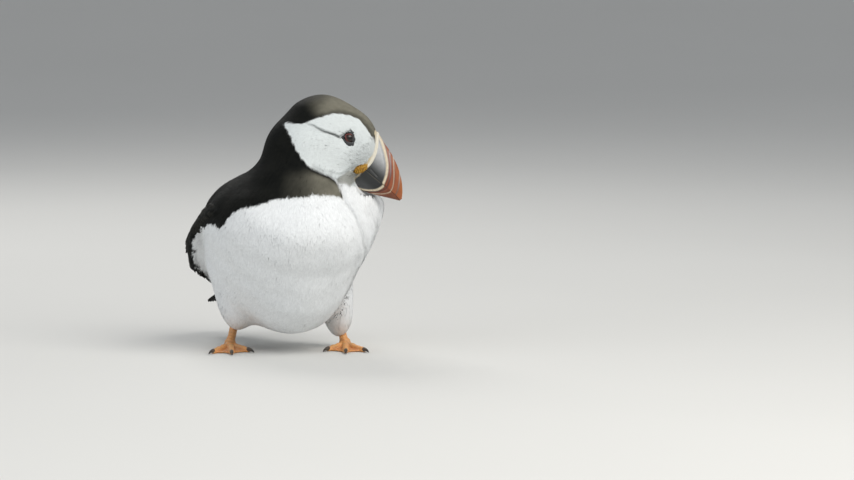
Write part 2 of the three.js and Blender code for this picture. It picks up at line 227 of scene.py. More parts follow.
def line_distance(points: Array, line: Array) -> tuple[Array, Array]:
    """The distance of points of a plane to an open line, and how far along the line the nearest spot is.

    Args:
        points: Points of the plane.
        line: The line's corners.

    Returns:
        The distances, with a plus on the line's left, and the shares from 0 to 1 along its length.
    """
    ways = np.diff(line, axis=0)
    lengths = np.linalg.norm(ways, axis=1)
    starts = np.concatenate([[0], np.cumsum(lengths)])
    best = np.full(len(points), np.inf)
    signed, along = np.zeros(len(points)), np.zeros(len(points))
    for start, way, length, before in zip(line, ways, lengths, starts):
        away = points - start
        share = np.clip(away @ way / length**2, 0, 1)
        gap = np.linalg.norm(away - share[:, None] * way, axis=1)
        nearer = gap < best
        best = np.where(nearer, gap, best)
        side = np.where(way[0] * away[:, 1] - way[1] * away[:, 0] >= 0, 1.0, -1.0)
        signed = np.where(nearer, side * gap, signed)
        along = np.where(nearer, (before + share * length) / starts[-1], along)
    return signed, along


# ----------------------------------------
# The bird's form
# ----------------------------------------

HEAD_TURN = 61
HEAD_DIP = 42
HEAD_AXES = turned(HEAD_TURN - 90, 0) @ about(1, HEAD_DIP)
MOUTH_CORNER = np.array([33.7, -41.2, 113.3])


def on_head(points: Array) -> Array:
    """Points given in the head's axes, in the bird's."""
    return np.asarray(points, float) @ HEAD_AXES.T + MOUTH_CORNER


def in_head(points: Array) -> Array:
    """Points given in the bird's axes, in the head's."""
    return (np.asarray(points, float) - MOUTH_CORNER) @ HEAD_AXES


@dataclass(frozen=True)
class Ellipsoid:
    """One mass of the body.

    Attributes:
        centre: Its middle, in the bird's axes.
        radii: Its half axes.
        turn: How its axes are turned.
    """

    centre: Array
    radii: tuple[float, float, float]
    turn: Array = field(default_factory=lambda: np.eye(3))

    def reach(self, points: Array) -> tuple[Array, Array]:
        """About how far points are outside the ellipsoid, and the way straight out of it.

        With q the point in units of the radii, the distance is |q| (|q| - 1) / |q / radii|.

        Args:
            points: Places on the bird.

        Returns:
            Distances, below zero inside, and ways.
        """
        local = (points - self.centre) @ self.turn
        scaled = local / np.asarray(self.radii)
        steep = scaled / np.asarray(self.radii)
        once = np.linalg.norm(scaled, axis=1)
        twice = np.maximum(np.linalg.norm(steep, axis=1), 1e-9)
        return once * (once - 1) / twice, (steep / twice[:, None]) @ self.turn.T


def blended(distances: list[Array], ways: list[Array], softness: float) -> tuple[Array, Array, Array]:
    """The smallest of some distances, rounded off where two are close.

    It is -k log(sum of exp(-d / k)), with k the softness, and the ways are mixed by the same weights.

    Args:
        distances: One array for each form.
        ways: The ways out of each form.
        softness: How softly they melt into each other.

    Returns:
        The distance, the way out, and each form's share in it.
    """
    d = np.stack(distances)
    least = d.min(0)
    weights = np.exp((least - d) / softness)
    total = weights.sum(0)
    shares = weights / total
    return least - softness * np.log(total), unit((shares[..., None] * np.stack(ways)).sum(0)), shares


@dataclass(frozen=True)
class Region:
    """A named part of the feathered body.

    Attributes:
        masses: Its ellipsoids.
        softness: How softly they melt together.
        shrink: How far its surface is drawn in before it meets the others.
        coat: How deep its feathers lie.
    """

    masses: tuple[Ellipsoid, ...]
    softness: float
    shrink: float
    coat: float


def head_mass(x: float, y: float, z: float, radii: tuple[float, float, float]) -> Ellipsoid:
    """An ellipsoid placed and turned with the head."""
    return Ellipsoid(on_head(np.array([x, y, z])), radii, HEAD_AXES)


def mass(centre: Sequence[float], radii: tuple[float, float, float], lean: float = 0) -> Ellipsoid:
    """An ellipsoid of the body, with its rear end let down by lean degrees."""
    return Ellipsoid(np.array(centre, float), radii, turned(0, lean))


@dataclass(frozen=True)
class Crease:
    """A soft groove in the plumage along a line.

    Attributes:
        spots: The line's corners.
        depth: How deep it is at its start and at its end.
        width: Half its breadth.
    """

    spots: tuple
    depth: tuple[float, float]
    width: float

    def at(self, points: Array) -> Array:
        """How far the surface is drawn in: the depth there times exp(-(distance / width)^2).

        Args:
            points: Places on the bird.

        Returns:
            The depth at each place.
        """
        line = np.array(self.spots, float)
        best, deep = np.full(len(points), np.inf), np.zeros(len(points))
        near = np.flatnonzero(np.linalg.norm(points - line.mean(0), axis=1) < 45)
        spots = points[near]
        count = len(line) - 1
        for k, (start, end) in enumerate(zip(line[:-1], line[1:])):
            way = end - start
            share = np.clip((spots - start) @ way / (way @ way), 0, 1)
            gap = np.linalg.norm(spots - start - share[:, None] * way, axis=1)
            nearer = gap < best[near]
            depth = self.depth[0] + (self.depth[1] - self.depth[0]) * (k + share) / count
            best[near] = np.where(nearer, gap, best[near])
            deep[near] = np.where(nearer, depth, deep[near])
        return deep * np.exp(-((best / self.width) ** 2))


NECK_FOLD = Crease(
    (
        (-6.2, -49.4, 115.2), (-0.4, -50.3, 112.7), (4.6, -51.2, 110.6), (8, -52.1, 106.8),
        (9.4, -52.7, 102.7), (11.7, -53, 99.6), (11.4, -54.8, 95.4), (13.8, -56.4, 91.7),
        (16, -59.1, 86.8), (17.8, -61.1, 81.3), (20.1, -60.6, 74.9), (23.5, -56.3, 67),
        (30.7, -40.2, 56.7),
    ),
    (1.3, 0.3),
    2.0,
)
CHIN_FOLD = Crease(
    (
        (4.2, -51.0, 112.6), (6.8, -51.1, 111.4), (9.6, -50.8, 111.2), (13.8, -49.4, 112.0),
        (18.2, -47.5, 113.9), (21.0, -46.6, 115.4),
    ),
    (1.5, 1.1),
    1.2,
)
EYE_FURROW = Crease(
    (
        (-26.6, 15.5, 4.9), (-29.9, 16.6, 3.9), (-32.9, 17.6, 2.6), (-35.8, 18.7, 1.3),
        (-39.1, 18.7, 0.4), (-42.7, 18.7, -0.3), (-45.6, 18.3, -1.8),
    ),
    (1.7, 0.4),
    0.85,
)
# Not a groove of the surface: it only places the painted shadow line along the collar's edge.
COLLAR_SHADOW_LINE = Crease(
    (
        (-14.7, -44.2, 120.4), (-9.7, -48.1, 116.5), (-0.2, -49.8, 112.5), (4.8, -50.8, 109.9),
        (7.9, -51.6, 106.4), (9.9, -51.8, 102.6), (10.6, -53.4, 98.4),
    ),
    (1.0, 1.0),
    0.95,
)


@dataclass
class Form:
    """The feathered body: four regions of ellipsoids in one, and the relief of the folded wings on it.

    Attributes:
        regions: Trunk, head, neck and thighs.
        softness: How softly the regions melt together.
        wing_top: The folded wing's upper edge from the side, as a curve's handles in (y, z).
        wing_low: Its lower edge, and wing_front its front edge as far as it shows.
        flank_front: Its front edge under the flank's feathers, where the surface begins to rise.
        wing_proud: How far the wing stands proud, at its edge and along its middle.
        wing_camber: How far in from its outline it reaches its full thickness.
        wing_front_to_full: Where along the body, in y, its thickness begins and is full.
    """

    softness: float = 4.0
    wing_proud: tuple[float, float] = (1.0, 9.5)
    wing_camber: float = 12.0
    wing_front_to_full: tuple[float, float] = (-6.0, 52.0)
    wing_top: tuple = ((-14, 88), (10, 101), (62, 75), (99, 33))
    wing_low: tuple = ((99, 33), (74, 35), (58, 38), (47, 40))
    wing_front: tuple = ((47, 40), (36, 56), (38, 74), (-14, 88))
    flank_front: tuple = ((47, 40), (26, 44), (22, 78), (-14, 88))
    regions: dict[str, Region] = field(default_factory=dict)

    def __post_init__(self) -> None:
        """Sets the regions and the wing's outline up."""
        self.regions = {
            "trunk": Region(
                (
                    mass((0, 12, 62), (44, 56, 38), 30),
                    mass((-1, -34, 75.5), (36, 34, 26)),
                    mass((30, -14, 90), (24.5, 28, 21)),
                    mass((-30, -8, 82), (24, 34, 23)),
                    mass((-1.5, -8, 46.5), (31, 39, 37)),
                    mass((0, 28, 79), (38, 42, 22), 30),
                    mass((0, 62, 43), (20, 35, 16), 34),
                ),
                10.0,
                3.0,
                2.2,
            ),
            "head": Region(
                (
                    head_mass(-40, 0, 1, (19.5, 16, 20.5)),
                    head_mass(-23.5, 0, 9.8, (15, 9.8, 13.8)),
                    head_mass(-16, 0, 2, (11, 8.5, 15)),
                    head_mass(-10.5, 0, 6.5, (8.2, 7.4, 9)),
                    head_mass(-29, 6.5, -5.5, (18, 9.5, 13)),
                    head_mass(-29, -6.5, -5.5, (18, 9.5, 13)),
                ),
                3.5,
                0.0,
                0.9,
            ),
            "neck": Region(
                (mass((-4, -23, 126), (20, 22, 20)), mass((-1, -21, 103), (31, 33, 22))), 5.0, 0.0, 1.7
            ),
            "thigh": Region(
                (mass((34, 2, 26), (8, 12, 19)), mass((-27, 20, 31), (10, 14, 19))), 3.0, 0.0, 1.4
            ),
        }
        share = np.linspace(0, 1, 14)[:-1]
        sides = [bezier(side, share) for side in (self.wing_top, self.wing_low, self.wing_front)]
        self.wing_line = Outline(np.concatenate(sides))
        self.rise_line = Outline(np.concatenate([*sides[:2], bezier(self.flank_front, share)]))

    def body(self, points: Array) -> tuple[Array, Array, dict[str, Array]]:
        """Distance to the body without its wings, the way out, and each region's share.

        Args:
            points: Places on the bird.

        Returns:
            Distances, ways and shares by place.
        """
        found = []
        for region in self.regions.values():
            reached = [one.reach(points) for one in region.masses]
            d, way, _ = blended([r[0] for r in reached], [r[1] for r in reached], region.softness)
            found.append((d + region.shrink, way))
        d, way, shares = blended([f[0] for f in found], [f[1] for f in found], self.softness)
        return d, way, dict(zip(self.regions, shares))

    def wing_rise_at(self, flat: Array) -> Array:
        """How far the wing stands proud at places of the side view.

        It goes from the edge's height to the full one by a smooth step along y, times a smooth step with
        the distance in from the outline, which is full at the camber's breadth.

        Args:
            flat: Places of the side view, as y and z.

        Returns:
            The rise at each place.
        """
        inner = -self.rise_line.distance(flat)
        full = step(*self.wing_front_to_full, flat[:, 0]) * step(-1.0, self.wing_camber, inner)
        return between(self.wing_proud, full)

    def wing_relief(self, points: Array) -> Array:
        """How far the folded wing lifts the surface: its full rise inside its outline, none outside.

        The change is 3 mm broad, and 9 mm under the flank's feathers.

        Args:
            points: Places on the bird.

        Returns:
            The lift at each place.
        """
        flank = step(60.0, 45.0, points[:, 1]) * step(92.0, 80.0, points[:, 2])
        outside = self.rise_line.distance(points[:, 1:])
        inside = step(0.0, 1.0, (0.5 + flank - outside) / (3.0 + 6.0 * flank))
        return self.wing_rise_at(points[:, 1:]) * inside * step(3.0, 9.0, np.abs(points[:, 0]))

    def socket(self, points: Array) -> Array:
        """How far the face is drawn in around the eyes.

        Args:
            points: Places on the bird.

        Returns:
            The depth at each place.
        """
        local = in_head(points)
        eye = np.exp(-(((local[:, 0] + 22.6) / 5.2) ** 2) - ((local[:, 2] - 8.0) / 5.0) ** 2)
        return 0.9 * eye * step(4.0, 8.0, np.abs(local[:, 1]))

    def folds(self, points: Array) -> Array:
        """How far the plumage is drawn in by its creases and its soft, wide unevenness.

        Args:
            points: Places on the bird.

        Returns:
            The depth at each place.
        """
        local = in_head(points) * np.array([1, -1, 1])
        local[:, 1] = np.abs(local[:, 1])
        soft = 0.35 * ripple(points, 30.0, 21, 4) * step(112.0, 96.0, points[:, 2])
        return NECK_FOLD.at(points) + CHIN_FOLD.at(points) + EYE_FURROW.at(local) + soft

    def surface(self, points: Array) -> tuple[Array, Array, dict[str, Array]]:
        """Distance to the bird's outer surface, wings, sockets and folds counted, with way and shares.

        The crown lies flatter than its ellipsoids, by up to 1.3 mm at its highest.

        Args:
            points: Places on the bird.

        Returns:
            Distances, ways and shares by place.
        """
        d, way, shares = self.body(points)
        crown = 1.3 * step(153.0, 160.5, points[:, 2])
        d = d - self.wing_relief(points) + self.socket(points) + self.folds(points) + crown
        return d, way, shares

    def slope(self, points: Array, stride: float = 0.4) -> Array:
        """The way out of the surface with its relief, from its distance at small strides along the axes.

        Args:
            points: Places near the surface.
            stride: How far each stride goes.

        Returns:
            A way for each place.
        """
        here, _, _ = self.surface(points)
        ahead = [self.surface(points + stride * np.eye(3)[k])[0] - here for k in range(3)]
        return unit(np.stack(ahead, 1))

    def settle(self, points: Array, level: Array | float, rounds: int = 5) -> Array:
        """Points moved straight out or in until their distance to the surface is level.

        Args:
            points: Points near the surface.
            level: The wanted distance, below zero inside.
            rounds: How many steps are taken, each by the distance still missing.

        Returns:
            The moved points.
        """
        spots = np.array(points, float)
        for _ in range(rounds):
            d, way, _ = self.surface(spots)
            spots -= (d - level)[:, None] * way
        return spots

    def coat_depth(self, shares: dict[str, Array]) -> Array:
        """The depth of the feathers, mixed from the regions' own by their shares."""
        return sum(shares[name] * region.coat for name, region in self.regions.items())


# ----------------------------------------
# Meshes
# ----------------------------------------


def placed(points: Array) -> Array:
    """Points in the bird's axes, in millimetres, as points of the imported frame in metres."""
    return np.asarray(points, float) * MM + ORIGIN


def frame_origin(eye_place: Array) -> Array:
    """Where the bird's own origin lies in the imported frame, found from the left eye's solid.

    Args:
        eye_place: The left eye's middle, in the head's axes.

    Returns:
        The place in metres.
    """
    low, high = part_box("eye_left")
    return (np.array(low) + np.array(high)) / 2 - on_head(eye_place) * MM


EYE_PLACE = np.array([-22.8, 11.6, 8.6])
ORIGIN = frame_origin(EYE_PLACE)


def grid_faces(rows: int, columns: int, round_again: bool = False) -> Array:
    """The quads of a grid of points that is counted row by row.

    Args:
        rows: Rows of points.
        columns: Points in a row.
        round_again: Whether the last point of a row joins the first.

    Returns:
        Four corners for each quad.
    """
    across = columns if round_again else columns - 1
    r, c = np.meshgrid(np.arange(rows - 1), np.arange(across), indexing="ij")
    following = (c + 1) % columns
    quads = [r * columns + c, r * columns + following, (r + 1) * columns + following, (r + 1) * columns + c]
    return np.stack(quads, -1).reshape(-1, 4)


@dataclass
class Shell:
    """Points and faces on their way into a mesh.

    Attributes:
        points: In the bird's axes, in millimetres.
        faces: Blocks of faces, each block with as many corners a face.
        values: Named numbers for each point, which the finish reads.
        uv: The OFBake place of each corner, in the order of the faces.
        normals: The way that each point is lit from, where it isn't the faces' own.
    """

    points: Array
    faces: list[Array]
    values: dict[str, Array] = field(default_factory=dict)
    uv: Array | None = None
    normals: Array | None = None

    @staticmethod
    def tube(rings: Array, values: dict[str, Array] | None = None) -> "Shell":
        """A closed skin through rings of points, with a fan over each end.

        Args:
            rings: Points by ring and by place in the ring.
            values: Named numbers by ring and by place, if any.

        Returns:
            The shell, with its faces out where the rings turn right-handed about the way they go.
        """
        count, around = rings.shape[:2]
        ends = np.stack([rings[0].mean(0), rings[-1].mean(0)])
        points = np.concatenate([rings.reshape(-1, 3), ends])
        i = np.arange(around)
        after = (i + 1) % around
        first, last, end = count * around, count * around + 1, (count - 1) * around
        fans = np.concatenate(
            [
                np.stack([np.full(around, first), after, i], 1),
                np.stack([np.full(around, last), end + i, end + after], 1),
            ]
        )
        kept = {
            name: np.concatenate([v.reshape(-1), [v[0].mean(), v[-1].mean()]])
            for name, v in (values or {}).items()
        }
        return Shell(points, [grid_faces(count, around, True), fans], kept)

    @staticmethod
    def joined(shells: Sequence["Shell"]) -> "Shell":
        """Several shells as one.

        Args:
            shells: The shells.

        Returns:
            All of them.
        """
        starts = np.cumsum([0] + [len(s.points) for s in shells[:-1]])
        faces = [block + start for s, start in zip(shells, starts) for block in s.faces]
        names = set().union(*(s.values for s in shells))
        values = {
            n: np.concatenate([s.values.get(n, np.zeros(len(s.points))) for s in shells]) for n in names
        }
        return Shell(np.concatenate([s.points for s in shells]), faces, values)

    def mirrored(self) -> "Shell":
        """The same shell on the head's other side, with its faces turned to stay out."""
        local = in_head(self.points) * np.array([1, -1, 1])
        return Shell(on_head(local), [block[:, ::-1] for block in self.faces], dict(self.values))

    def mesh(self, name: str) -> bpy.types.Mesh:
        """The shell as a smooth-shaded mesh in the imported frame.

        Args:
            name: The mesh's name.

        Returns:
            The mesh.
        """
        mesh = bpy.data.meshes.new(name)
        mesh.vertices.add(len(self.points))
        mesh.vertices.foreach_set("co", placed(self.points).astype(np.float32).ravel())
        corners = np.concatenate([block.ravel() for block in self.faces])
        sizes = np.concatenate([np.full(len(block), block.shape[1]) for block in self.faces])
        mesh.loops.add(len(corners))
        mesh.loops.foreach_set("vertex_index", corners.astype(np.int32))
        mesh.polygons.add(len(sizes))
        mesh.polygons.foreach_set("loop_start", (np.cumsum(sizes) - sizes).astype(np.int32))
        mesh.polygons.foreach_set("use_smooth", np.ones(len(sizes), bool))
        for key, numbers in self.values.items():
            layer = mesh.attributes.new(key, "FLOAT", "POINT")
            layer.data.foreach_set("value", np.asarray(numbers, np.float32))
        if self.uv is not None:
            layer = mesh.uv_layers.new(name="OFBake")
            layer.data.foreach_set("uv", self.uv.astype(np.float32).ravel())
        mesh.update(calc_edges=True)
        if self.normals is not None:
            mesh.normals_split_custom_set_from_vertices(self.normals.astype(np.float32))
        return mesh


def dress(name: str, shell: Shell, finish: bpy.types.Material) -> bpy.types.Object:
    """Makes a shell an object of the scene that rides on the part.

    Args:
        name: The piece's name.
        shell: Its shape.
        finish: Its material.

    Returns:
        The object.
    """
    piece = bpy.data.objects.new(name, shell.mesh(name))
    bpy.context.scene.collection.objects.link(piece)
    piece.data.materials.append(finish)
    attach(piece, "root")
    log.info("%s: %d faces", name, len(piece.data.polygons))
    return piece


def remeshed(shell: Shell, voxel: float) -> Shell:
    """A shell of overlapping closed forms melted into one skin of even quads.

    Args:
        shell: The forms.
        voxel: The quads' size, in millimetres.

    Returns:
        The one skin, without values.
    """
    work = bpy.data.objects.new("work", shell.mesh("work"))
    bpy.context.scene.collection.objects.link(work)
    bpy.context.view_layer.objects.active = work
    work.select_set(True)
    work.data.remesh_voxel_size = voxel * MM
    bpy.ops.object.voxel_remesh()
    count = len(work.data.vertices)
    spots = np.empty(count * 3, np.float32)
    work.data.vertices.foreach_get("co", spots)
    corners = np.empty(len(work.data.loops), np.int32)
    work.data.loops.foreach_get("vertex_index", corners)
    data = work.data
    bpy.data.objects.remove(work)
    bpy.data.meshes.remove(data)
    points = (spots.reshape(-1, 3).astype(float) - ORIGIN) / MM
    return Shell(points, [corners.reshape(-1, 4)])


def smoothed(shell: Shell, rounds: int, share: float = 0.6) -> Shell:
    """A shell whose points are drawn towards the middle of their neighbours, a share each round.

    Args:
        shell: The shell.
        rounds: How many rounds.
        share: How far each round goes.

    Returns:
        The smoother shell.
    """
    quads = shell.faces[0]
    ends = np.concatenate([quads[:, [0, 1]], quads[:, [1, 2]], quads[:, [2, 3]], quads[:, [3, 0]]])
    near, far = ends.T
    counts = np.bincount(near, minlength=len(shell.points))
    spots = shell.points.copy()
    for _ in range(rounds):
        sums = np.stack([np.bincount(near, spots[far, k], len(spots)) for k in range(3)], 1)
        spots += share * (sums / np.maximum(counts, 1)[:, None] - spots)
    return Shell(spots, shell.faces, shell.values)


def sphere(centre: Array, radii: Array, turn: Array, across: int = 24, down: int = 16) -> Shell:
    """An ellipsoid: rings of latitude, each at height cos(t) and reach sin(t) of its half axes.

    Args:
        centre: Its middle.
        radii: Its half axes.
        turn: The matrix that turns it.
        across: Points around each ring.
        down: Rings from pole to pole.

    Returns:
        The ellipsoid.
    """
    tilt = np.linspace(0, math.pi, down + 1)[1:-1, None]
    swing = np.linspace(0, 2 * math.pi, across, endpoint=False)[None]
    flat = [np.sin(tilt) * np.cos(swing), np.sin(tilt) * np.sin(swing), np.cos(tilt) * np.ones_like(swing)]
    rings = np.stack(flat, -1) * np.asarray(radii)
    return Shell.tube(rings[::-1] @ turn.T + centre)


# ----------------------------------------
# Finishes
# ----------------------------------------

Colour = tuple[float, float, float]


class Nodes:
    """A node tree being wired, of a material or of a group."""

    def __init__(self, tree: bpy.types.NodeTree) -> None:
        """Starts on a tree."""
        self.tree = tree

    def add(self, kind: str, settings: dict | None = None, **inputs: object) -> bpy.types.Node:
        """Adds a node.

        Args:
            kind: Its type, such as ShaderNodeMix.
            settings: Its properties.
            inputs: Its sockets by name or by in_NUMBER: a value, or another node's output.

        Returns:
            The node.
        """
        node = self.tree.nodes.new(kind)
        for key, value in (settings or {}).items():
            setattr(node, key, value)
        for key, value in inputs.items():
            place = int(key[3:]) if key.startswith("in_") else key.replace("_", " ")
            socket = node.inputs[place]
            if isinstance(value, bpy.types.NodeSocket):
                self.tree.links.new(value, socket)
            else:
                is_colour = isinstance(value, tuple) and len(value) == 3
                socket.default_value = (*value, 1.0) if is_colour else value
        return node

    def value(self, name: str) -> bpy.types.NodeSocket:
        """The named number that a mesh carries at each point."""
        return self.add("ShaderNodeAttribute", {"attribute_name": name}).outputs["Fac"]

    def math(self, operation: str, one: object, two: object = 0.5) -> bpy.types.NodeSocket:
        """Two numbers put together."""
        return self.add("ShaderNodeMath", {"operation": operation}, in_0=one, in_1=two).outputs[0]

    def mix(self, factor: object, one: object, two: object, way: str = "MIX") -> bpy.types.NodeSocket:
        """Two colours mixed by a factor."""
        settings = {"data_type": "RGBA", "blend_type": way}
        return self.add("ShaderNodeMix", settings, in_0=factor, in_6=one, in_7=two).outputs[2]

    def noise(self, scale: float, detail: float = 3.0, roughness: float = 0.55) -> bpy.types.NodeSocket:
        """Procedural noise on the object's own coordinates, with so many lumps a metre.

        Args:
            scale: Lumps a metre.
            detail: How much finer noise is added.
            roughness: How strong the finer noise is.

        Returns:
            Its value.
        """
        place = self.add("ShaderNodeTexCoord").outputs["Object"]
        inputs = {"Vector": place, "Scale": scale, "Detail": detail, "Roughness": roughness}
        return self.add("ShaderNodeTexNoise", **inputs).outputs["Fac"]

    def spread(self, value: object, low: float, high: float) -> bpy.types.NodeSocket:
        """A value stretched so that low becomes 0 and high becomes 1."""
        inputs = {"Value": value, "From Min": low, "From Max": high}
        return self.add("ShaderNodeMapRange", **inputs).outputs[0]


def new_material(name: str) -> tuple[bpy.types.Material, Nodes, bpy.types.Node]:
    """An empty material with its shader and output joined.

    Args:
        name: Its name.

    Returns:
        The material, its nodes and its shader.
    """
    material = bpy.data.materials.new(name)
    material.use_nodes = True
    nodes = Nodes(material.node_tree)
    shader = material.node_tree.nodes["Principled BSDF"]
    return material, nodes, shader


def group(name: str, sockets: dict[str, tuple[str, str, object]]) -> tuple[bpy.types.NodeTree, Nodes]:
    """A shader node group with named inputs and outputs.

    Args:
        name: The group's name.
        sockets: By socket name: INPUT or OUTPUT, the socket's type, and a default.

    Returns:
        The tree, and its wiring.
    """
    tree = bpy.data.node_groups.new(name, "ShaderNodeTree")
    for key, (side, kind, default) in sockets.items():
        socket = tree.interface.new_socket(key, in_out=side, socket_type=kind)
        if default is not None:
            socket.default_value = default
    return tree, Nodes(tree)


class Effects:
    """The node groups that several finishes share, each built once."""

    def __init__(self) -> None:
        """Starts with nothing built."""
        self.built: dict[str, bpy.types.NodeTree] = {}

    def mottle(self) -> bpy.types.NodeTree:
        """Uneven tone: a colour made darker and lighter by noise at two sizes, and a height for bumps.

        Returns:
            The node group.
        """
        if "mottle" not in self.built:
            tree, nodes = group(
                "mottle",
                {
                    "Color": ("INPUT", "NodeSocketColor", (0.5, 0.5, 0.5, 1)),
                    "Scale": ("INPUT", "NodeSocketFloat", 300.0),
                    "Amount": ("INPUT", "NodeSocketFloat", 0.2),
                    "Color Out": ("OUTPUT", "NodeSocketColor", None),
                    "Height": ("OUTPUT", "NodeSocketFloat", None),
                },
            )
            given = nodes.add("NodeGroupInput").outputs
            place = nodes.add("ShaderNodeTexCoord").outputs["Object"]
            coarse = nodes.add("ShaderNodeTexNoise", Vector=place, Scale=given["Scale"], Detail=4.0)
            finer = nodes.math("MULTIPLY", given["Scale"], 5.0)
            fine = nodes.add("ShaderNodeTexNoise", Vector=place, Scale=finer, Detail=2.0)
            lesser = nodes.math("MULTIPLY", fine.outputs["Fac"], 0.4)
            height = nodes.math("ADD", coarse.outputs["Fac"], lesser)
            swing = nodes.math("MULTIPLY", nodes.math("SUBTRACT", height, 0.7), given["Amount"])
            light = nodes.math("ADD", swing, 1.0)
            tone = nodes.add("ShaderNodeHueSaturation", Color=given["Color"], Value=light)
            out = nodes.add("NodeGroupOutput")
            nodes.tree.links.new(tone.outputs["Color"], out.inputs["Color Out"])
            nodes.tree.links.new(height, out.inputs["Height"])
            self.built["mottle"] = tree
        return self.built["mottle"]

    def plumage(self) -> bpy.types.NodeTree:
        """The bird's pattern: black, white, grey face and a brownish grey, mixed by the numbers on the mesh,
        with painted shade that darkens each feather towards its root. The brownish grey is painted sheen on
        the crown and the collar's front, over a slight real tint, and painted shade on the chin.

        Returns:
            The node group.
        """
        if "plumage" not in self.built:
            tree, nodes = group(
                "plumage",
                {
                    "White": ("INPUT", "NodeSocketColor", (0.8, 0.8, 0.8, 1)),
                    "Black": ("INPUT", "NodeSocketColor", (0.01, 0.01, 0.01, 1)),
                    "Face": ("INPUT", "NodeSocketColor", (0.6, 0.6, 0.6, 1)),
                    "Brown": ("INPUT", "NodeSocketColor", (0.1, 0.1, 0.1, 1)),
                    "Color": ("OUTPUT", "NodeSocketColor", None),
                    "Roughness": ("OUTPUT", "NodeSocketFloat", None),
                },
            )
            given = nodes.add("NodeGroupInput").outputs
            dark, face, brown = (nodes.value(n) for n in ("dark", "face", "brown"))
            black = nodes.mix(brown, given["Black"], given["Brown"])
            pale = nodes.mix(face, given["White"], given["Face"])
            mixed = nodes.mix(dark, pale, black)
            tone = nodes.math("MULTIPLY", nodes.value("tone"), nodes.spread(nodes.noise(220.0), 0.1, 0.55))
            # Painted shade: darker towards each feather's root, where the feathers lying over it shade it.
            shade = nodes.spread(nodes.value("along"), -1.3, 0.6)
            lit = nodes.math("ADD", nodes.math("MULTIPLY", tone, 0.1), nodes.math("MULTIPLY", shade, 0.93))
            final = nodes.add("ShaderNodeHueSaturation", Color=mixed, Value=lit)
            out = nodes.add("NodeGroupOutput")
            nodes.tree.links.new(final.outputs["Color"], out.inputs["Color"])
            rough = nodes.math("SUBTRACT", 0.92, nodes.math("MULTIPLY", dark, 0.3))
            nodes.tree.links.new(rough, out.inputs["Roughness"])
            self.built["plumage"] = tree
        return self.built["plumage"]


EFFECTS = Effects()


def mottled(
    nodes: Nodes,
    shader: bpy.types.Node,
    look: tuple[bpy.types.NodeSocket, float, float],
    bumps: tuple[float, float] | None = None,
    rough: tuple[float, float] = (0.0, 0.0),
) -> None:
    """Gives a shader an uneven colour, with bumps and a roughness that follow it.

    Args:
        nodes: The material's nodes.
        shader: Its shader.
        look: The even colour, the lumps of tone in a metre, and how strong they are.
        bumps: How strong the bumps are and how high, in metres; none leaves the surface smooth.
        rough: How matt the hollows are, and how much more the bumps are.
    """
    inputs = dict(zip(("Color", "Scale", "Amount"), look))
    mottle = nodes.add("ShaderNodeGroup", {"node_tree": EFFECTS.mottle()}, **inputs)
    nodes.tree.links.new(mottle.outputs["Color Out"], shader.inputs["Base Color"])
    if bumps:
        height = mottle.outputs["Height"]
        bump = nodes.add("ShaderNodeBump", Strength=bumps[0], Distance=bumps[1], Height=height)
        nodes.tree.links.new(bump.outputs["Normal"], shader.inputs["Normal"])
        matt = nodes.math("ADD", rough[0], nodes.math("MULTIPLY", height, rough[1]))
        nodes.tree.links.new(matt, shader.inputs["Roughness"])


@dataclass(frozen=True)
class Plumage:
    """Feathers in the bird's own pattern.

    Attributes:
        name: The material's name.
        white: Breast and belly.
        black: Back, neck and wings.
        face: The cheeks.
        brown: The brownish grey of crown and collar, painted sheen where light falls on them over a slight
            real tint, and the chin's painted shade.
        sheen: How much the loose edges catch light.
        barbs: How many barbs lie side by side across a vane; none on small tufts.
    """

    name: str = "plumage"
    white: Colour = (0.80, 0.82, 0.83)
    black: Colour = (0.0036, 0.0043, 0.004)
    face: Colour = (0.64, 0.68, 0.68)
    # The brownish grey paints the sheen on crown and collar and the shade on the chin.
    brown: Colour = (0.20, 0.19, 0.15)
    sheen: float = 0.01
    barbs: float = 0.0

    def material(self) -> bpy.types.Material:
        """Builds the material.

        Returns:
            The material.
        """
        material, nodes, shader = new_material(self.name)
        pattern = nodes.add(
            "ShaderNodeGroup",
            {"node_tree": EFFECTS.plumage()},
            White=self.white,
            Black=self.black,
            Face=self.face,
            Brown=self.brown,
        )
        links = material.node_tree.links
        links.new(pattern.outputs["Color"], shader.inputs["Base Color"])
        links.new(pattern.outputs["Roughness"], shader.inputs["Roughness"])
        shader.inputs["Sheen Weight"].default_value = self.sheen
        shader.inputs["Sheen Roughness"].default_value = 0.5
        shader.inputs["Specular IOR Level"].default_value = 0.06
        if self.barbs:
            across = nodes.math("ABSOLUTE", nodes.value("across"), 0.0)
            slant = nodes.math("SUBTRACT", nodes.value("reach"), nodes.math("MULTIPLY", across, 0.9))
            wave = nodes.math("SINE", nodes.math("MULTIPLY", slant, self.barbs * 2 * math.pi), 0.0)
            bump = nodes.add("ShaderNodeBump", Strength=0.35, Distance=0.00015, Height=wave)
            links.new(bump.outputs["Normal"], shader.inputs["Normal"])
        return material


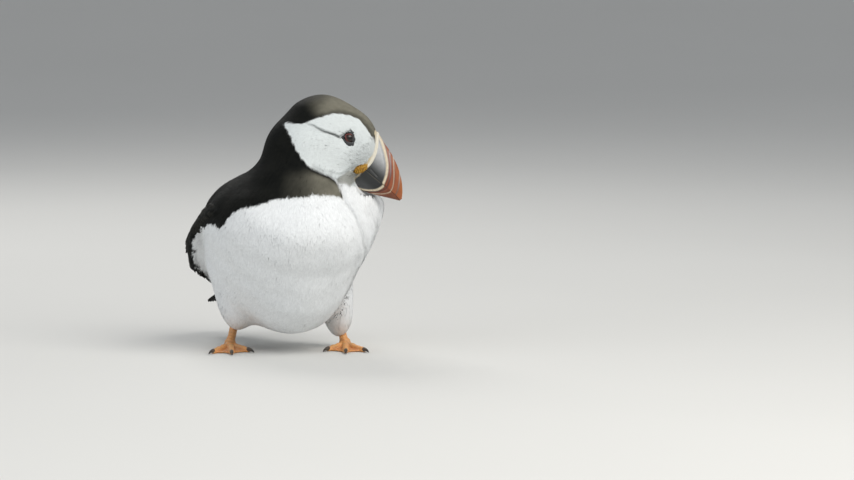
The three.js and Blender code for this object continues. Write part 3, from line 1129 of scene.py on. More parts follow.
@dataclass(frozen=True)
class Horn:
    """Horn, scale or bare skin: one colour with uneven tone, fine bumps and a gloss.

    Attributes:
        name: The material's name.
        colour: Its base colour.
        second: A second colour, mixed in by the number "second" on the mesh.
        third: A third colour, mixed in by the number "third", and fourth by "fourth".
        roughness: How matt it is.
        scale: How many lumps of tone there are in a metre.
        amount: How strong the unevenness is.
        bump: How high the fine bumps stand, in metres.
        coat: How much clear gloss lies over it.
        glow: How much light goes into the skin.
    """

    name: str
    colour: Colour
    second: Colour = (0.0, 0.0, 0.0)
    third: Colour = (0.0, 0.0, 0.0)
    fourth: Colour = (0.0, 0.0, 0.0)
    roughness: float = 0.45
    scale: float = 300.0
    amount: float = 0.35
    bump: float = 0.0001
    coat: float = 0.0
    glow: float = 0.0

    def material(self) -> bpy.types.Material:
        """Builds the material.

        Returns:
            The material.
        """
        material, nodes, shader = new_material(self.name)
        colour = nodes.mix(nodes.value("second"), self.colour, self.second)
        colour = nodes.mix(nodes.value("third"), colour, self.third)
        colour = nodes.mix(nodes.value("fourth"), colour, self.fourth)
        look = (colour, self.scale, self.amount)
        mottled(nodes, shader, look, (0.6, self.bump), (self.roughness - 0.1, 0.15))
        shader.inputs["Coat Weight"].default_value = self.coat
        shader.inputs["Coat Roughness"].default_value = 0.25
        shader.inputs["Subsurface Weight"].default_value = self.glow
        shader.inputs["Subsurface Scale"].default_value = 0.001
        return material


# ----------------------------------------
# The pattern, the lie and the skin
# ----------------------------------------


@dataclass
class Pattern:
    """Where the bird is black, white or grey-faced, and where its sheen and shade are painted in a brownish
    grey.

    Attributes:
        face: The pale cheek's outline in the head's side plane.
        collar: The height of the black collar's lower edge by the turn around the neck, in degrees from
            straight in front, with a plus to the bird's left.
        cloak: The outline, from the side, of all that is black behind the collar.
        chin: The outline of the painted shade on the chin, in the head's side plane.
    """

    face: tuple = (
        (-3, 19), (-11.5, 17.6), (-14.0, 18.6), (-19.0, 19.6), (-24.7, 20.4), (-30.8, 18.3),
        (-36.2, 15.1), (-40.3, 10.6), (-43.6, 5.1), (-45.6, 2.0), (-48.3, -3.4), (-52.7, -8.0),
        (-56.5, -10.6), (-56.0, -12.0), (-48.7, -13.9), (-41.4, -17.0), (-35.8, -18.6), (-29.0, -19.7),
        (-24.3, -19.3), (-18.5, -17.5), (-13.5, -15.8), (-8.6, -15.2), (-5.0, -12.5), (2, -10), (3, 10),
    )
    collar: tuple = (
        (-180, 80), (-97, 80.6), (-89.8, 83.4), (-87.4, 87.9), (-80.2, 91.3), (-67.7, 94.1),
        (-56.3, 97.3), (-47, 98.4), (-31.7, 99), (-16.2, 100.1), (0.6, 99.9), (13.6, 98.9), (19.4, 97.1),
        (20.7, 99.6), (17.1, 102.7), (14.8, 106.8), (12.3, 109), (5.5, 111.8), (-0.8, 112.7),
        (-7.1, 113.9), (5, 114.5), (18, 114), (36, 117), (45, 120), (60, 124), (75, 124), (92, 121),
        (100, 113), (108, 106), (118, 100), (128, 94), (138, 87), (155, 80), (180, 80), (180, 220),
        (-180, 220),
    )
    cloak: tuple = (
        (-26, 88), (-23.5, 85.8), (-20.9, 81.3), (-14.6, 78.5), (-7, 80.6), (0, 81.2), (7, 79.4),
        (18.7, 75.7), (27.6, 68.3), (33.8, 61.5), (38.4, 53.6), (43, 46.9), (50, 41), (62, 38),
        (92, 26.5), (106, 18), (125, 18), (125, 130), (-5, 130), (-26, 104),
    )
    chin: tuple = (
        (-10.6, -14.7), (-9.4, -11.2), (-8.4, -6.8), (-6.0, -4.4), (-2.0, -4.4), (-1.0, -8.0),
        (-1.2, -13.2), (-4.1, -13.2), (-7.9, -16.2),
    )

    def __post_init__(self) -> None:
        """Works the outlines out; turns around the neck count as 0.6 mm a degree."""
        self.face_line = Outline.through(self.face, 5)
        self.collar_line = Outline(np.array(self.collar, float) * np.array([0.6, 1]))
        self.cloak_line = Outline(np.array(self.cloak, float))
        self.chin_line = Outline(np.array(self.chin, float))

    def face_edge(self, points: Array) -> Array:
        """How far points lie outside the pale cheek: ten millimetres where it isn't near.

        Args:
            points: Places on the bird.

        Returns:
            Distances, below zero inside the cheek.
        """
        local = in_head(points)
        edge = np.full(len(points), 10.0)
        near = np.flatnonzero((local[:, 0] > -62) & (local[:, 0] < 8) & (np.abs(local[:, 2]) < 25))
        near = near[np.abs(local[near, 1]) < 40]
        side = 4.0 - np.abs(local[near, 1]) + 0.3 * ripple(points[near], 5.0, 32)
        around = self.face_line.distance(local[near][:, [0, 2]]) + 0.2 * ripple(points[near], 6.0, 31)
        edge[near] = np.minimum(np.maximum(around, side), 10)
        return edge

    def back(self, points: Array) -> Array:
        """How much further back the black begins on the left, the side that the head is turned to."""
        return 12 * step(5.0, 25.0, points[:, 0]) * step(10.0, -20.0, points[:, 1])

    def marks(self, points: Array) -> dict[str, Array]:
        """The numbers that the plumage's finish reads.

        Args:
            points: Places on the bird.

        Returns:
            dark, face and brown, each from 0 to 1.
        """
        local = in_head(points)
        edge = self.face_edge(points)
        face = step(0.3, -0.3, edge)
        turn = np.degrees(np.arctan2(points[:, 0], -(points[:, 1] + 22)))
        rough = 0.45 * ripple(points, 11.0, 33) + 0.3 * ripple(points, 3.0, 34)
        crisp = rough * (0.35 + 0.65 * step(4.0, -20.0, turn))
        around = np.stack([0.6 * turn, points[:, 2]], 1)
        hood = step(0.5, -0.5, self.collar_line.distance(around) + crisp)
        loose = rough * (1 + 1.8 * step(-20.0, -8.0, points[:, 1]))
        flank = points[:, 1:] - np.stack([self.back(points), 0 * points[:, 0]], 1)
        cloak = step(0.5, -0.5, self.cloak_line.distance(flank) + loose)
        # The eye's furrow: partly a real grey parting, partly painted shade in the groove.
        furrow_grey_and_shade = np.minimum(EYE_FURROW.at(np.stack([local[:, 0], np.abs(local[:, 1]), local[:, 2]], 1)), 1)
        # A painted shadow line along the collar's edge, where it overlaps the cheek and the throat.
        rim = COLLAR_SHADOW_LINE.at(points)
        aside = np.abs(local[:, 1])
        between = step(4.0, 7.0, aside) * step(0.0, 3.0, np.where(local[:, 1] > 0, 13.0, 27.0) - aside)
        # Painted shade: the chin under the bill darkened and browned as if in shadow.
        chin = step(0.7, -0.7, self.chin_line.distance(local[:, [0, 2]]) + 0.3 * rough) * between
        dark = np.maximum(hood * (1 - face), cloak) + 0.55 * furrow_grey_and_shade
        dark = np.maximum(dark, np.maximum(0.68 * chin, rim))
        patchy = 0.5 + 0.25 * ripple(points, 14.0, 35) + 0.15 * ripple(points, 4.0, 36)
        # The crown's brownish grey: painted sheen where light falls, over a slight real tint, made patchy at
        # random.
        crown = ramp(local[:, 0], (-62, 0), (-57, 0.1), (-50, 0.4), (-45, 0.75), (-38, 0.95), (-20, 0.9))
        crown = crown * step(2.0, 12.0, local[:, 2]) * (0.4 + 0.6 * step(0.3, 3.5, edge))
        crown = crown * (0.8 + 0.3 * patchy)
        # Painted sheen on the lit front of the black collar.
        lit_throat = ramp(turn, (-52, 0), (-30, 0.25), (-14, 0.65), (2, 1), (20, 1), (40, 0.4), (90, 0.1))
        lit_throat = lit_throat * step(118.0, 110.0, points[:, 2]) * (0.75 + 0.4 * patchy) * step(0.3, 2.5, edge)
        brown = np.maximum(np.maximum(crown, 0.8 * lit_throat) * (1 - rim), 0.8 * chin * (1 - rim))
        brown = np.clip(brown + 0.03 * patchy, 0, 1)
        return {"dark": np.minimum(dark, 1), "face": face, "brown": brown}


@dataclass(frozen=True)
class Lie:
    """Which way the feathers lie around one place.

    Attributes:
        at: The place.
        way: The way from the feathers' roots to their tips.
        reach: How far around it that holds.
    """

    at: Array
    way: Array
    reach: float


def head_way(x: float, y: float, z: float) -> Array:
    """A direction given in the head's axes, in the bird's."""
    return HEAD_AXES @ np.array([x, y, z], float)


LIES = (
    Lie(on_head(np.array([-8, 0, 12])), head_way(-1, 0, 0.25), 16),
    Lie(on_head(np.array([-14, 0, -10])), head_way(-1, 0, -0.25), 16),
    Lie(on_head(np.array([-36, 0, 10])), head_way(-1, 0, -0.1), 20),
    Lie(on_head(np.array([-48, 0, 0])), head_way(-0.6, 0, -0.8), 18),
    Lie(np.array([0, -22, 110]), np.array([0, 0.25, -1.0]), 24),
    Lie(np.array([0, -40, 80]), np.array([0, 0.12, -1.0]), 30),
    Lie(np.array([0, 10, 95]), np.array([0, 0.9, -0.35]), 26),
    Lie(np.array([0, 15, 62]), np.array([0, 0.85, -0.55]), 40),
    Lie(np.array([0, -10, 38]), np.array([0, 0.7, -0.6]), 26),
    Lie(np.array([0, 62, 43]), np.array([0, 0.93, -0.37]), 34),
    Lie(np.array([34, 2, 22]), np.array([0, 0.25, -1.0]), 14),
    Lie(np.array([-27, 21, 22]), np.array([0, 0.25, -1.0]), 14),
)


def feather_way(points: Array, outward: Array) -> Array:
    """The lie of the feathers: the stations' ways, mixed by exp(-(distance / reach)^2), along the skin.

    Args:
        points: Places on the bird.
        outward: The way out of the skin at each.

    Returns:
        The way at each place.
    """
    total = np.zeros((len(points), 3))
    for lie in LIES:
        gap = np.linalg.norm(points - lie.at, axis=1) / lie.reach
        total += np.exp(-(gap**2))[:, None] * unit(lie.way)
    flat = total - (total * outward).sum(1, keepdims=True) * outward
    return unit(flat)


@dataclass
class Skin:
    """The one skin under the feathers, from the bill's base to the tail.

    Attributes:
        form: The bird's shape.
        pattern: Its markings.
        voxel: The size of its quads.
    """

    form: Form
    pattern: Pattern
    voxel: float = 1.7

    def build(self, finish: bpy.types.Material) -> bpy.types.Object:
        """Melts the masses together and settles the skin inside the coat.

        Args:
            finish: The plumage.

        Returns:
            The skin's object, unwrapped.
        """
        masses = [m for region in self.form.regions.values() for m in region.masses]
        blocks = [sphere(m.centre, [0.96 * r for r in m.radii], m.turn, 30, 20) for m in masses]
        skin = remeshed(Shell.joined(blocks), self.voxel)
        for rounds in (3, 1):
            skin = smoothed(skin, rounds)
            _, _, shares = self.form.surface(skin.points)
            skin.points = self.form.settle(skin.points, -self.form.coat_depth(shares))
        skin.values = self.pattern.marks(skin.points) | {
            "tone": np.full(len(skin.points), 0.5),
            # along 0.2: painted shade, as dark as the feathers' roots.
            "along": np.full(len(skin.points), 0.2),
        }
        piece = dress("skin", skin, finish)
        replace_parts(piece, "head", "neck", "trunk", "thigh_left", "thigh_right", "wing_left", "wing_right")
        bpy.context.view_layer.objects.active = piece
        for other in bpy.context.selected_objects:
            other.select_set(False)
        piece.select_set(True)
        bpy.ops.object.mode_set(mode="EDIT")
        bpy.ops.mesh.select_all(action="SELECT")
        bpy.ops.uv.smart_project(angle_limit=math.radians(66), island_margin=0.004)
        bpy.ops.object.mode_set(mode="OBJECT")
        piece.data.uv_layers[0].name = "OFBake"
        return piece


# ----------------------------------------
# The coat
# ----------------------------------------


@dataclass(frozen=True)
class Tuft:
    """A kind of small feather: a closed, flattened leaf with a ridge, pointed at its tip.

    Attributes:
        length: From root to tip.
        width: Its greatest width.
        spacing: The distance between roots.
        ridge: How high the ridge stands over its edges.
        spread: How far its way strays from the lie, in degrees.
        rings: Each ring between root and tip: its share of the length, and of the width.
        rise: How soon it comes up from the skin: the power of its level's fall from tip to root.
    """

    length: float
    width: float
    spacing: float
    ridge: float
    spread: float = 9.0
    rings: tuple[tuple[float, float], ...] = ((0.42, 0.95), (0.84, 0.8))
    rise: float = 5.0


class Kind(Enum):
    """The kinds of small feather."""

    FACE = Tuft(3.6, 0.62, 0.5, 0.05, 6.0)
    NECK = Tuft(6.2, 1.0, 0.75, 0.08, 7.0)
    BREAST = Tuft(8.5, 1.3, 0.86, 0.05, 7.0)
    MANTLE = Tuft(9.5, 3.2, 1.7, 0.2, 6.0, ((0.3, 0.75), (0.65, 1.0), (0.9, 0.72)), 3.0)
    THIGH = Tuft(5.5, 1.0, 0.8, 0.05, 7.0)


def leaf_faces(rings: int) -> Array:
    """The triangles of one leaf: a root point, rings of left, ridge and right, and a tip point.

    Args:
        rings: How many rings the leaf has.

    Returns:
        The three points of each triangle.
    """
    faces = []
    for i in range(3):
        j = (i + 1) % 3
        faces.append((0, 1 + j, 1 + i))
        for ring in range(rings - 1):
            a = 1 + 3 * ring
            faces += [(a + i, a + j, a + 3 + j), (a + i, a + 3 + j, a + 3 + i)]
        last = 1 + 3 * (rings - 1)
        faces.append((last + i, last + j, 3 * rings + 1))
    return np.array(faces)


@dataclass
class Leaves:
    """Many leaves at once.

    Attributes:
        points: Their points by leaf: root, rings of left, ridge and right, and tip.
        normals: The way that each point is lit from.
        line: Their middle lines by leaf.
    """

    points: Array
    normals: Array
    line: Array


def leaves(
    form: Form, roots: Array, ways: Array, tuft: Tuft, size: Array, depth: Array, seed: int
) -> Leaves:
    """Lays many leaves along the bird.

    The middle line goes along the way from ring to ring, and each of its points is settled at the level
    -depth (1 - s)^rise, so that a leaf rises from under the skin and its tip lies in the outer surface.
    Left and right stand off by half the width, and the ridge stands up by its height. A leaf is lit as a
    piece of the plumage's surface that is gently rounded across.

    Args:
        form: The bird's shape.
        roots: Where they grow from.
        ways: The way that each lies, along the surface.
        tuft: Their kind.
        size: Each one's share of the kind's length and width.
        depth: The coat's depth at each.
        seed: For the unevenness of their tips.

    Returns:
        The leaves.
    """
    rng = np.random.default_rng(seed)
    stations = (0.0, *(share for share, _ in tuft.rings), 1.0)
    lift = rng.uniform(-0.035, 0.012, len(roots)) * depth
    spot, way = roots, ways
    line, outs = [], []
    for ring, share in enumerate(stations):
        if ring:
            spot = spot + way * (tuft.length * size * (share - stations[ring - 1]))[:, None]
        level = -depth * (1 - share) ** tuft.rise - (0.25 if ring == 0 else 0.0) + lift * share
        spot = form.settle(spot, level, 2)
        _, outward, _ = form.body(spot)
        way = unit(way - (way * outward).sum(1, keepdims=True) * outward)
        line.append(spot)
        outs.append(outward)
    lit = form.slope(line[-1])
    roll = rng.normal(0, 0.06, len(roots))[:, None]
    points, normals = [line[0][:, None]], [lit[:, None]]
    for ring, (_, width) in enumerate(tuft.rings, 1):
        out = outs[ring]
        side = np.cross(out, unit(line[ring + 1] - line[ring]))
        half = (0.5 * tuft.width * width * size)[:, None]
        tilt = out * roll
        ring_points = [
            line[ring] + side * half + tilt * half,
            line[ring] + out * tuft.ridge,
            line[ring] - side * half - tilt * half,
        ]
        points.append(np.stack(ring_points, 1))
        normals.append(np.stack([unit(lit + side * (turn - roll)) for turn in (0.22, 0.0, -0.22)], 1))
    points.append(line[-1][:, None])
    normals.append(unit(lit - side * roll)[:, None])
    return Leaves(np.concatenate(points, 1), np.concatenate(normals, 1), np.stack(line, 1))


@dataclass
class Coat:
    """The small feathers over the skin, in pieces of the body.

    Attributes:
        form: The bird's shape.
        pattern: Its markings.
        skin: The skin's object.
        strewn: How many candidates a square millimetre gets, and how many more on the head.
        own: How far a feather's marks are those under its own line, and not under its middle.
        bill_base: Where the bill begins, as x by z in the head's axes, bill_keel where it ends below, as
            z by x, and bill_side how far it reaches aside, as y by z.
        eye_hole: The outline of the eye with its plates, in the head's side plane.
        corner: The rosette's middle in the head's side plane, corner_reach its half axes, and
            corner_turn how far it is turned, in degrees.
    """

    form: Form
    pattern: Pattern
    skin: bpy.types.Object
    strewn: tuple[float, float] = (4.5, 9.0)
    own: float = 0.75
    bill_base: tuple = (
        (-25, -3.6), (-13.4, -4.0), (0, -3.2), (3.7, -3.1), (7.6, -4.3), (13.4, -8.5), (21.1, -12.4),
        (30, -17),
    )
    bill_keel: tuple = ((-4, -13.8), (6, -12.8), (17, -7), (27, -1.5))
    bill_side: tuple = ((-14, 5), (-8, 7.5), (0, 9.5), (26, 9.5))
    eye_hole: tuple = ((-25.5, 5.9), (-22.5, 13.7), (-17.0, 10.6), (-16.0, 7.5), (-17.5, 4.5))
    corner: tuple[float, float] = (-3.4, -1.2)
    corner_reach: tuple[float, float] = (5.6, 3.0)
    corner_turn: float = 48.0

    def triangles(self) -> tuple[Array, Array]:
        """The skin's triangles: corners' places in the bird's axes, and their OFBake places.

        Returns:
            Both, by triangle and corner.
        """
        mesh = self.skin.data
        mesh.calc_loop_triangles()
        spots = np.empty(len(mesh.vertices) * 3, np.float32)
        mesh.vertices.foreach_get("co", spots)
        uv = np.empty(len(mesh.loops) * 2, np.float32)
        mesh.uv_layers["OFBake"].data.foreach_get("uv", uv)
        corners = np.empty(len(mesh.loop_triangles) * 3, np.int32)
        mesh.loop_triangles.foreach_get("vertices", corners)
        loops = np.empty(len(mesh.loop_triangles) * 3, np.int32)
        mesh.loop_triangles.foreach_get("loops", loops)
        places = (spots.reshape(-1, 3)[corners].astype(float) - ORIGIN) / MM
        return places.reshape(-1, 3, 3), uv.reshape(-1, 2)[loops].reshape(-1, 3, 2).astype(float)

    def bare(self, points: Array) -> Array:
        """Where nothing grows: on the bill, the eyes with their plates, and the rosettes.

        Args:
            points: Places on the bird.

        Returns:
            True where nothing grows.
        """
        local = in_head(points)
        x, y, z = local.T
        aside = np.abs(y)
        bill = (x > ramp(z, *self.bill_base)) & (x < 32) & (z < 26)
        bill &= z > ramp(x, *self.bill_keel)
        bill &= aside < ramp(z, *self.bill_side)
        eye = Outline(np.array(self.eye_hole)).distance(local[:, [0, 2]])
        turn = math.radians(self.corner_turn)
        ahead, above = x - self.corner[0], z - self.corner[1]
        u = ahead * math.cos(turn) + above * math.sin(turn)
        v = above * math.cos(turn) - ahead * math.sin(turn)
        rosette = (u / self.corner_reach[0]) ** 2 + (v / self.corner_reach[1]) ** 2 < 1
        return bill | ((eye < 0.2) & (aside > 6)) | (rosette & (aside > 3) & (aside < 12))

    def feathered(self, points: Array) -> Array:
        """Where small feathers grow: neither on the bare places nor under the folded wings.

        Args:
            points: Places on the bird.

        Returns:
            True where they grow.
        """
        shifted = points[:, 1:] - np.stack([self.pattern.back(points), 0 * points[:, 0]], 1)
        outside = self.form.wing_line.distance(shifted) + 40 * step(14, 4, np.abs(points[:, 0]))
        return ~self.bare(points) & ((outside > -2.0) | (points[:, 1] < -5))

    def roots(self, seed: int) -> dict[str, Array]:
        """Strews candidate roots over the skin by area, with their OFBake places.

        Args:
            seed: For the strewing.

        Returns:
            The places as spots, and their OFBake places as uv.
        """
        places, uv = self.triangles()
        one, two = places[:, 1] - places[:, 0], places[:, 2] - places[:, 0]
        area = np.linalg.norm(np.cross(one, two), axis=1) / 2
        rng = np.random.default_rng(seed)
        head = in_head(places[:, 0])
        near_head = step(75.0, 55.0, np.linalg.norm(head + np.array([28, 0, -2]), axis=1))
        weight = area * (self.strewn[0] + self.strewn[1] * near_head)
        count = int(weight.sum())
        chosen = rng.choice(len(area), count, p=weight / weight.sum())
        a, b = rng.random((2, count, 1))
        flip = a + b > 1
        a, b = np.where(flip, 1 - a, a), np.where(flip, 1 - b, b)
        mix = np.concatenate([1 - a - b, a, b], 1)[..., None]
        return {"spots": (places[chosen] * mix).sum(1), "uv": (uv[chosen] * mix).sum(1)}

    def kinds(self, spots: Array, shares: dict[str, Array], dark: Array) -> Array:
        """Which kind of feather grows at each place, as a place in the list of kinds.

        Args:
            spots: Places on the bird.
            shares: The regions' shares there.
            dark: How black it is there.

        Returns:
            A number for each place.
        """
        order = list(Kind)
        chosen = np.full(len(spots), order.index(Kind.BREAST))
        chosen[(dark > 0.5) & (spots[:, 1] > -12)] = order.index(Kind.MANTLE)
        chosen[shares["neck"] > 0.4] = order.index(Kind.NECK)
        chosen[(shares["head"] > 0.5) | (self.pattern.face_edge(spots) < 0)] = order.index(Kind.FACE)
        chosen[(shares["thigh"] > 0.5) | (spots[:, 2] < 26)] = order.index(Kind.THIGH)
        return chosen

    def zone(self, spots: Array, shares: dict[str, Array]) -> Array:
        """The name of the piece of coat that each place belongs to.

        Args:
            spots: Places on the bird.
            shares: The regions' shares there.

        Returns:
            A name for each place.
        """
        side = np.where(spots[:, 0] > 0, "left", "right")
        local = in_head(spots)
        head_side = np.where(local[:, 1] > 0, "left", "right")
        zone = np.char.add("coat_side_", side)
        zone = np.where(spots[:, 1] < -22, np.char.add("coat_breast_", side), zone)
        zone = np.where(spots[:, 2] < 40, np.char.add("coat_belly_", side), zone)
        zone = np.where(shares["neck"] > 0.4, "coat_neck", zone)
        return np.where(shares["head"] > 0.5, np.char.add("coat_head_", head_side), zone)

    def build(self, finish: bpy.types.Material) -> None:
        """Grows the coat and dresses each of its pieces.

        Args:
            finish: The plumage.
        """
        found = self.roots(11)
        spots, uv = found["spots"], found["uv"]
        keep = self.feathered(spots)
        spots, uv = spots[keep], uv[keep]
        _, outward, shares = self.form.surface(spots)
        marks = self.pattern.marks(spots)
        chosen = self.kinds(spots, shares, marks["dark"])
        zones = self.zone(spots, shares)
        depth = self.form.coat_depth(shares)
        rng = np.random.default_rng(12)
        pieces: dict[str, list[Shell]] = {}
        for index, kind in enumerate(Kind):
            tuft = kind.value
            mine = np.flatnonzero(chosen == index)
            if not len(mine):
                continue
            cells = np.floor(spots[mine] / tuft.spacing + rng.uniform(0, 1, 3)).astype(np.int64)
            _, first = np.unique(cells @ np.array([1, 4096, 4096**2]), return_index=True)
            mine = mine[first]
            root, out = spots[mine], outward[mine]
            way = feather_way(root, out)
            stray = np.radians(rng.normal(0, tuft.spread, len(mine)) + 9 * ripple(root, 18.0, 13))
            way = way * np.cos(stray)[:, None] + np.cross(out, way) * np.sin(stray)[:, None]
            size = rng.uniform(0.82, 1.15, len(mine)) * self.shorter(root)
            found = leaves(self.form, root, way, tuft, size, depth[mine], 14 + index)
            middle = found.line[:, 1:].mean(1, keepdims=True)
            seen = self.pattern.marks((self.own * found.line + (1 - self.own) * middle).reshape(-1, 3))
            rings = len(tuft.rings)
            spread = np.concatenate([[0], np.repeat(np.arange(1, rings + 1), 3), [rings + 1]])
            seen = {key: value.reshape(len(mine), -1)[:, spread] for key, value in seen.items()}
            for name in np.unique(zones[mine]):
                part = zones[mine] == name
                shell = self.shell(found.points[part], tuft, uv[mine][part], rng)
                shell.normals = found.normals[part].reshape(-1, 3)
                shell.values |= {key: value[part].ravel() for key, value in seen.items()}
                pieces.setdefault(str(name), []).append(shell)
        for name, shells in sorted(pieces.items()):
            whole = Shell.joined(shells)
            whole.uv = np.concatenate([s.uv for s in shells])
            whole.normals = np.concatenate([s.normals for s in shells])
            dress(name, whole, finish)

    def shorter(self, roots: Array) -> Array:
        """How much shorter the feathers are next to the bill.

        Args:
            roots: Places on the bird.

        Returns:
            The share of the full length at each place.
        """
        local = in_head(roots)
        bill = step(2.0, 12.0, np.linalg.norm(local - np.array([-6, 0, 3]), axis=1) - 8)
        return 0.55 + 0.45 * bill

    def shell(self, body: Array, tuft: Tuft, uv: Array, rng: np.random.Generator) -> Shell:
        """Leaves' points as one shell, each leaf a small patch of the unwrap at its root's place.

        Args:
            body: Points by leaf.
            tuft: Their kind.
            uv: Their roots' OFBake places.
            rng: For their tones.

        Returns:
            The shell.
        """
        patch = 0.003
        count, each = body.shape[:2]
        rings = len(tuft.rings)
        faces = leaf_faces(rings)
        along = np.concatenate([[0], np.repeat([share for share, _ in tuft.rings], 3), [1]])
        across = np.concatenate([[0.5], np.tile([0, 0.5, 1], rings), [0.5]])
        spots = (np.stack([across, along], 1) - 0.5) * patch
        every = (faces[None] + (np.arange(count) * each)[:, None, None]).reshape(-1, 3)
        corners = (uv[:, None, None] + spots[faces][None]).reshape(-1, 2)
        values = {
            # along: share from root to tip, which the finish turns into painted shade towards the root.
            "along": np.tile(along, count),
            "tone": np.repeat(rng.random(count), each),
        }
        return Shell(body.reshape(-1, 3), [every], values, np.clip(corners, 0, 1))


# ----------------------------------------
# Wings and tail
# ----------------------------------------


@dataclass(frozen=True)
class Vane:
    """A kind of large feather: a thin closed blade with a shaft down its middle.

    Attributes:
        width: Its greatest width.
        thick: Its thickness at the shaft.
        point: How pointed its tip is: 2 is round, less is sharper.
        rows: Rows of points along it, and columns how many across.
        crown: How far its edges hang below the shaft, as a share of the half width.
    """

    width: float
    thick: float = 0.5
    point: float = 2.0
    rows: int = 9
    columns: int = 7
    crown: float = 0.16


def vane_width(share: Array, point: float) -> Array:
    """A blade's width along it: it rises as s^0.4 from the root and closes as (1 - s^4)^(1/point)."""
    return share**0.4 * (1 - np.minimum(share, 1) ** 4) ** (1 / point)


def vanes(
    form: Form, kind: Vane, roots: Array, tips: Array, sides: Array, levels: Array, cling: float
) -> tuple[Array, dict[str, Array]]:
    """The points of many blades, each a grid over its length and width, laid over the bird.

    A middle line goes straight from root to tip. Each point of the grid stands off it sideways by the
    half width, and is then moved along the way out of the body: to its level where it clings, or only as
    far as needed to stay outside the level where it is stiff. Levels count from the folded wing's rise.

    Args:
        form: The bird's shape.
        kind: Their kind.
        roots: Where they start.
        tips: Where they end.
        sides: A way across each.
        levels: How far outside the wing's surface each root and each tip lies, two by two.
        cling: The share of the length, from the root, over which the blade clings to the body.

    Returns:
        Points by blade, row and column, and the named numbers at each.
    """
    share = np.linspace(0.02, 1, kind.rows) ** 0.9
    across = np.linspace(-1, 1, kind.columns)
    width = 0.5 * kind.width * vane_width(share, kind.point) + 0.15
    lengths = np.linalg.norm(tips - roots, axis=1)
    middle = roots[:, None] + share[None, :, None] * (tips - roots)[:, None]
    grid = middle[:, :, None] + (width[None, :, None] * across)[..., None] * sides[:, None, None]
    level = levels[:, :1] + (levels[:, 1:] - levels[:, :1]) * share
    level = level[:, :, None] - kind.crown * width[None, :, None] * np.abs(across) ** 1.6
    held = step(cling + 0.25, cling, share)[None, :, None] * np.ones_like(level)
    flat = grid.reshape(-1, 3)
    for _ in range(4):
        d, way, _ = form.body(flat)
        missing = level.ravel() + form.wing_rise_at(flat[:, 1:]) - d
        move = np.where(missing > 0, missing, missing * held.ravel())
        flat = flat + move[:, None] * way
    values = {
        "across": np.broadcast_to(across, level.shape) * 1.0,
        "reach": share[None, :, None] * lengths[:, None, None] / kind.width + 0 * level,
        # along: painted shade, darker towards each blade's root.
        "along": 0.25 + 0.65 * share[None, :, None] + 0 * level,
    }
    return flat.reshape(grid.shape), values


def blades(grid: Array, values: dict[str, Array], kind: Vane, marks: dict[str, float], seed: int) -> Shell:
    """Grids of blades given their thickness: a top sheet with a raised shaft, and a bottom sheet.

    Args:
        grid: Points by blade, row and column.
        values: The named numbers at each.
        kind: Their kind.
        marks: The plumage's numbers, the same all over.
        seed: For their tones.

    Returns:
        One shell of closed blades.
    """
    count, rows, columns = grid.shape[:3]
    rng = np.random.default_rng(seed)
    along = np.gradient(grid, axis=1)
    across = np.gradient(grid, axis=2)
    out = unit(np.cross(across, along))
    places = np.linspace(-1, 1, columns)
    half = (0.5 * kind.thick * (1 - places**2) ** 0.5)[None, None, :, None]
    shaft = 0.22 * np.exp(-((places / 0.12) ** 2))[None, None, :, None]
    top = grid + out * (half + shaft)
    bottom = (grid - out * half)[:, :, 1:-1][:, :, ::-1]
    rings = np.concatenate([top, bottom], 2)
    around = rings.shape[2]
    tone = rng.random(count)
    shells = []
    for i in range(count):
        kept = {key: np.concatenate([v[i], v[i][:, 1:-1][:, ::-1]], 1) for key, v in values.items()}
        kept["tone"] = np.full((rows, around), tone[i])
        kept |= {key: np.full((rows, around), number) for key, number in marks.items()}
        shells.append(Shell.tube(rings[i], kept))
    return Shell.joined(shells)


@dataclass(frozen=True)
class Row:
    """A row of a folded wing's feathers, between two heights of the wing.

    Attributes:
        name: What the row is called.
        kind: Its feathers' kind.
        count: How many feathers.
        root: Where they start, as the share of the wing's length at the lowest and at the highest one.
        tip: Where they end, in the same way.
        height: The wing's heights that the row spans, 0 at its lower edge and 1 at its upper edge.
        tip_height: The same at the tips.
        level: How far outside the body roots and tips lie.
        cling: The share of their length over which they cling to the body.
    """

    name: str
    kind: Vane
    count: int
    root: tuple[float, float]
    tip: tuple[float, float]
    height: tuple[float, float]
    tip_height: tuple[float, float]
    level: tuple[float, float]
    cling: float = 1.0


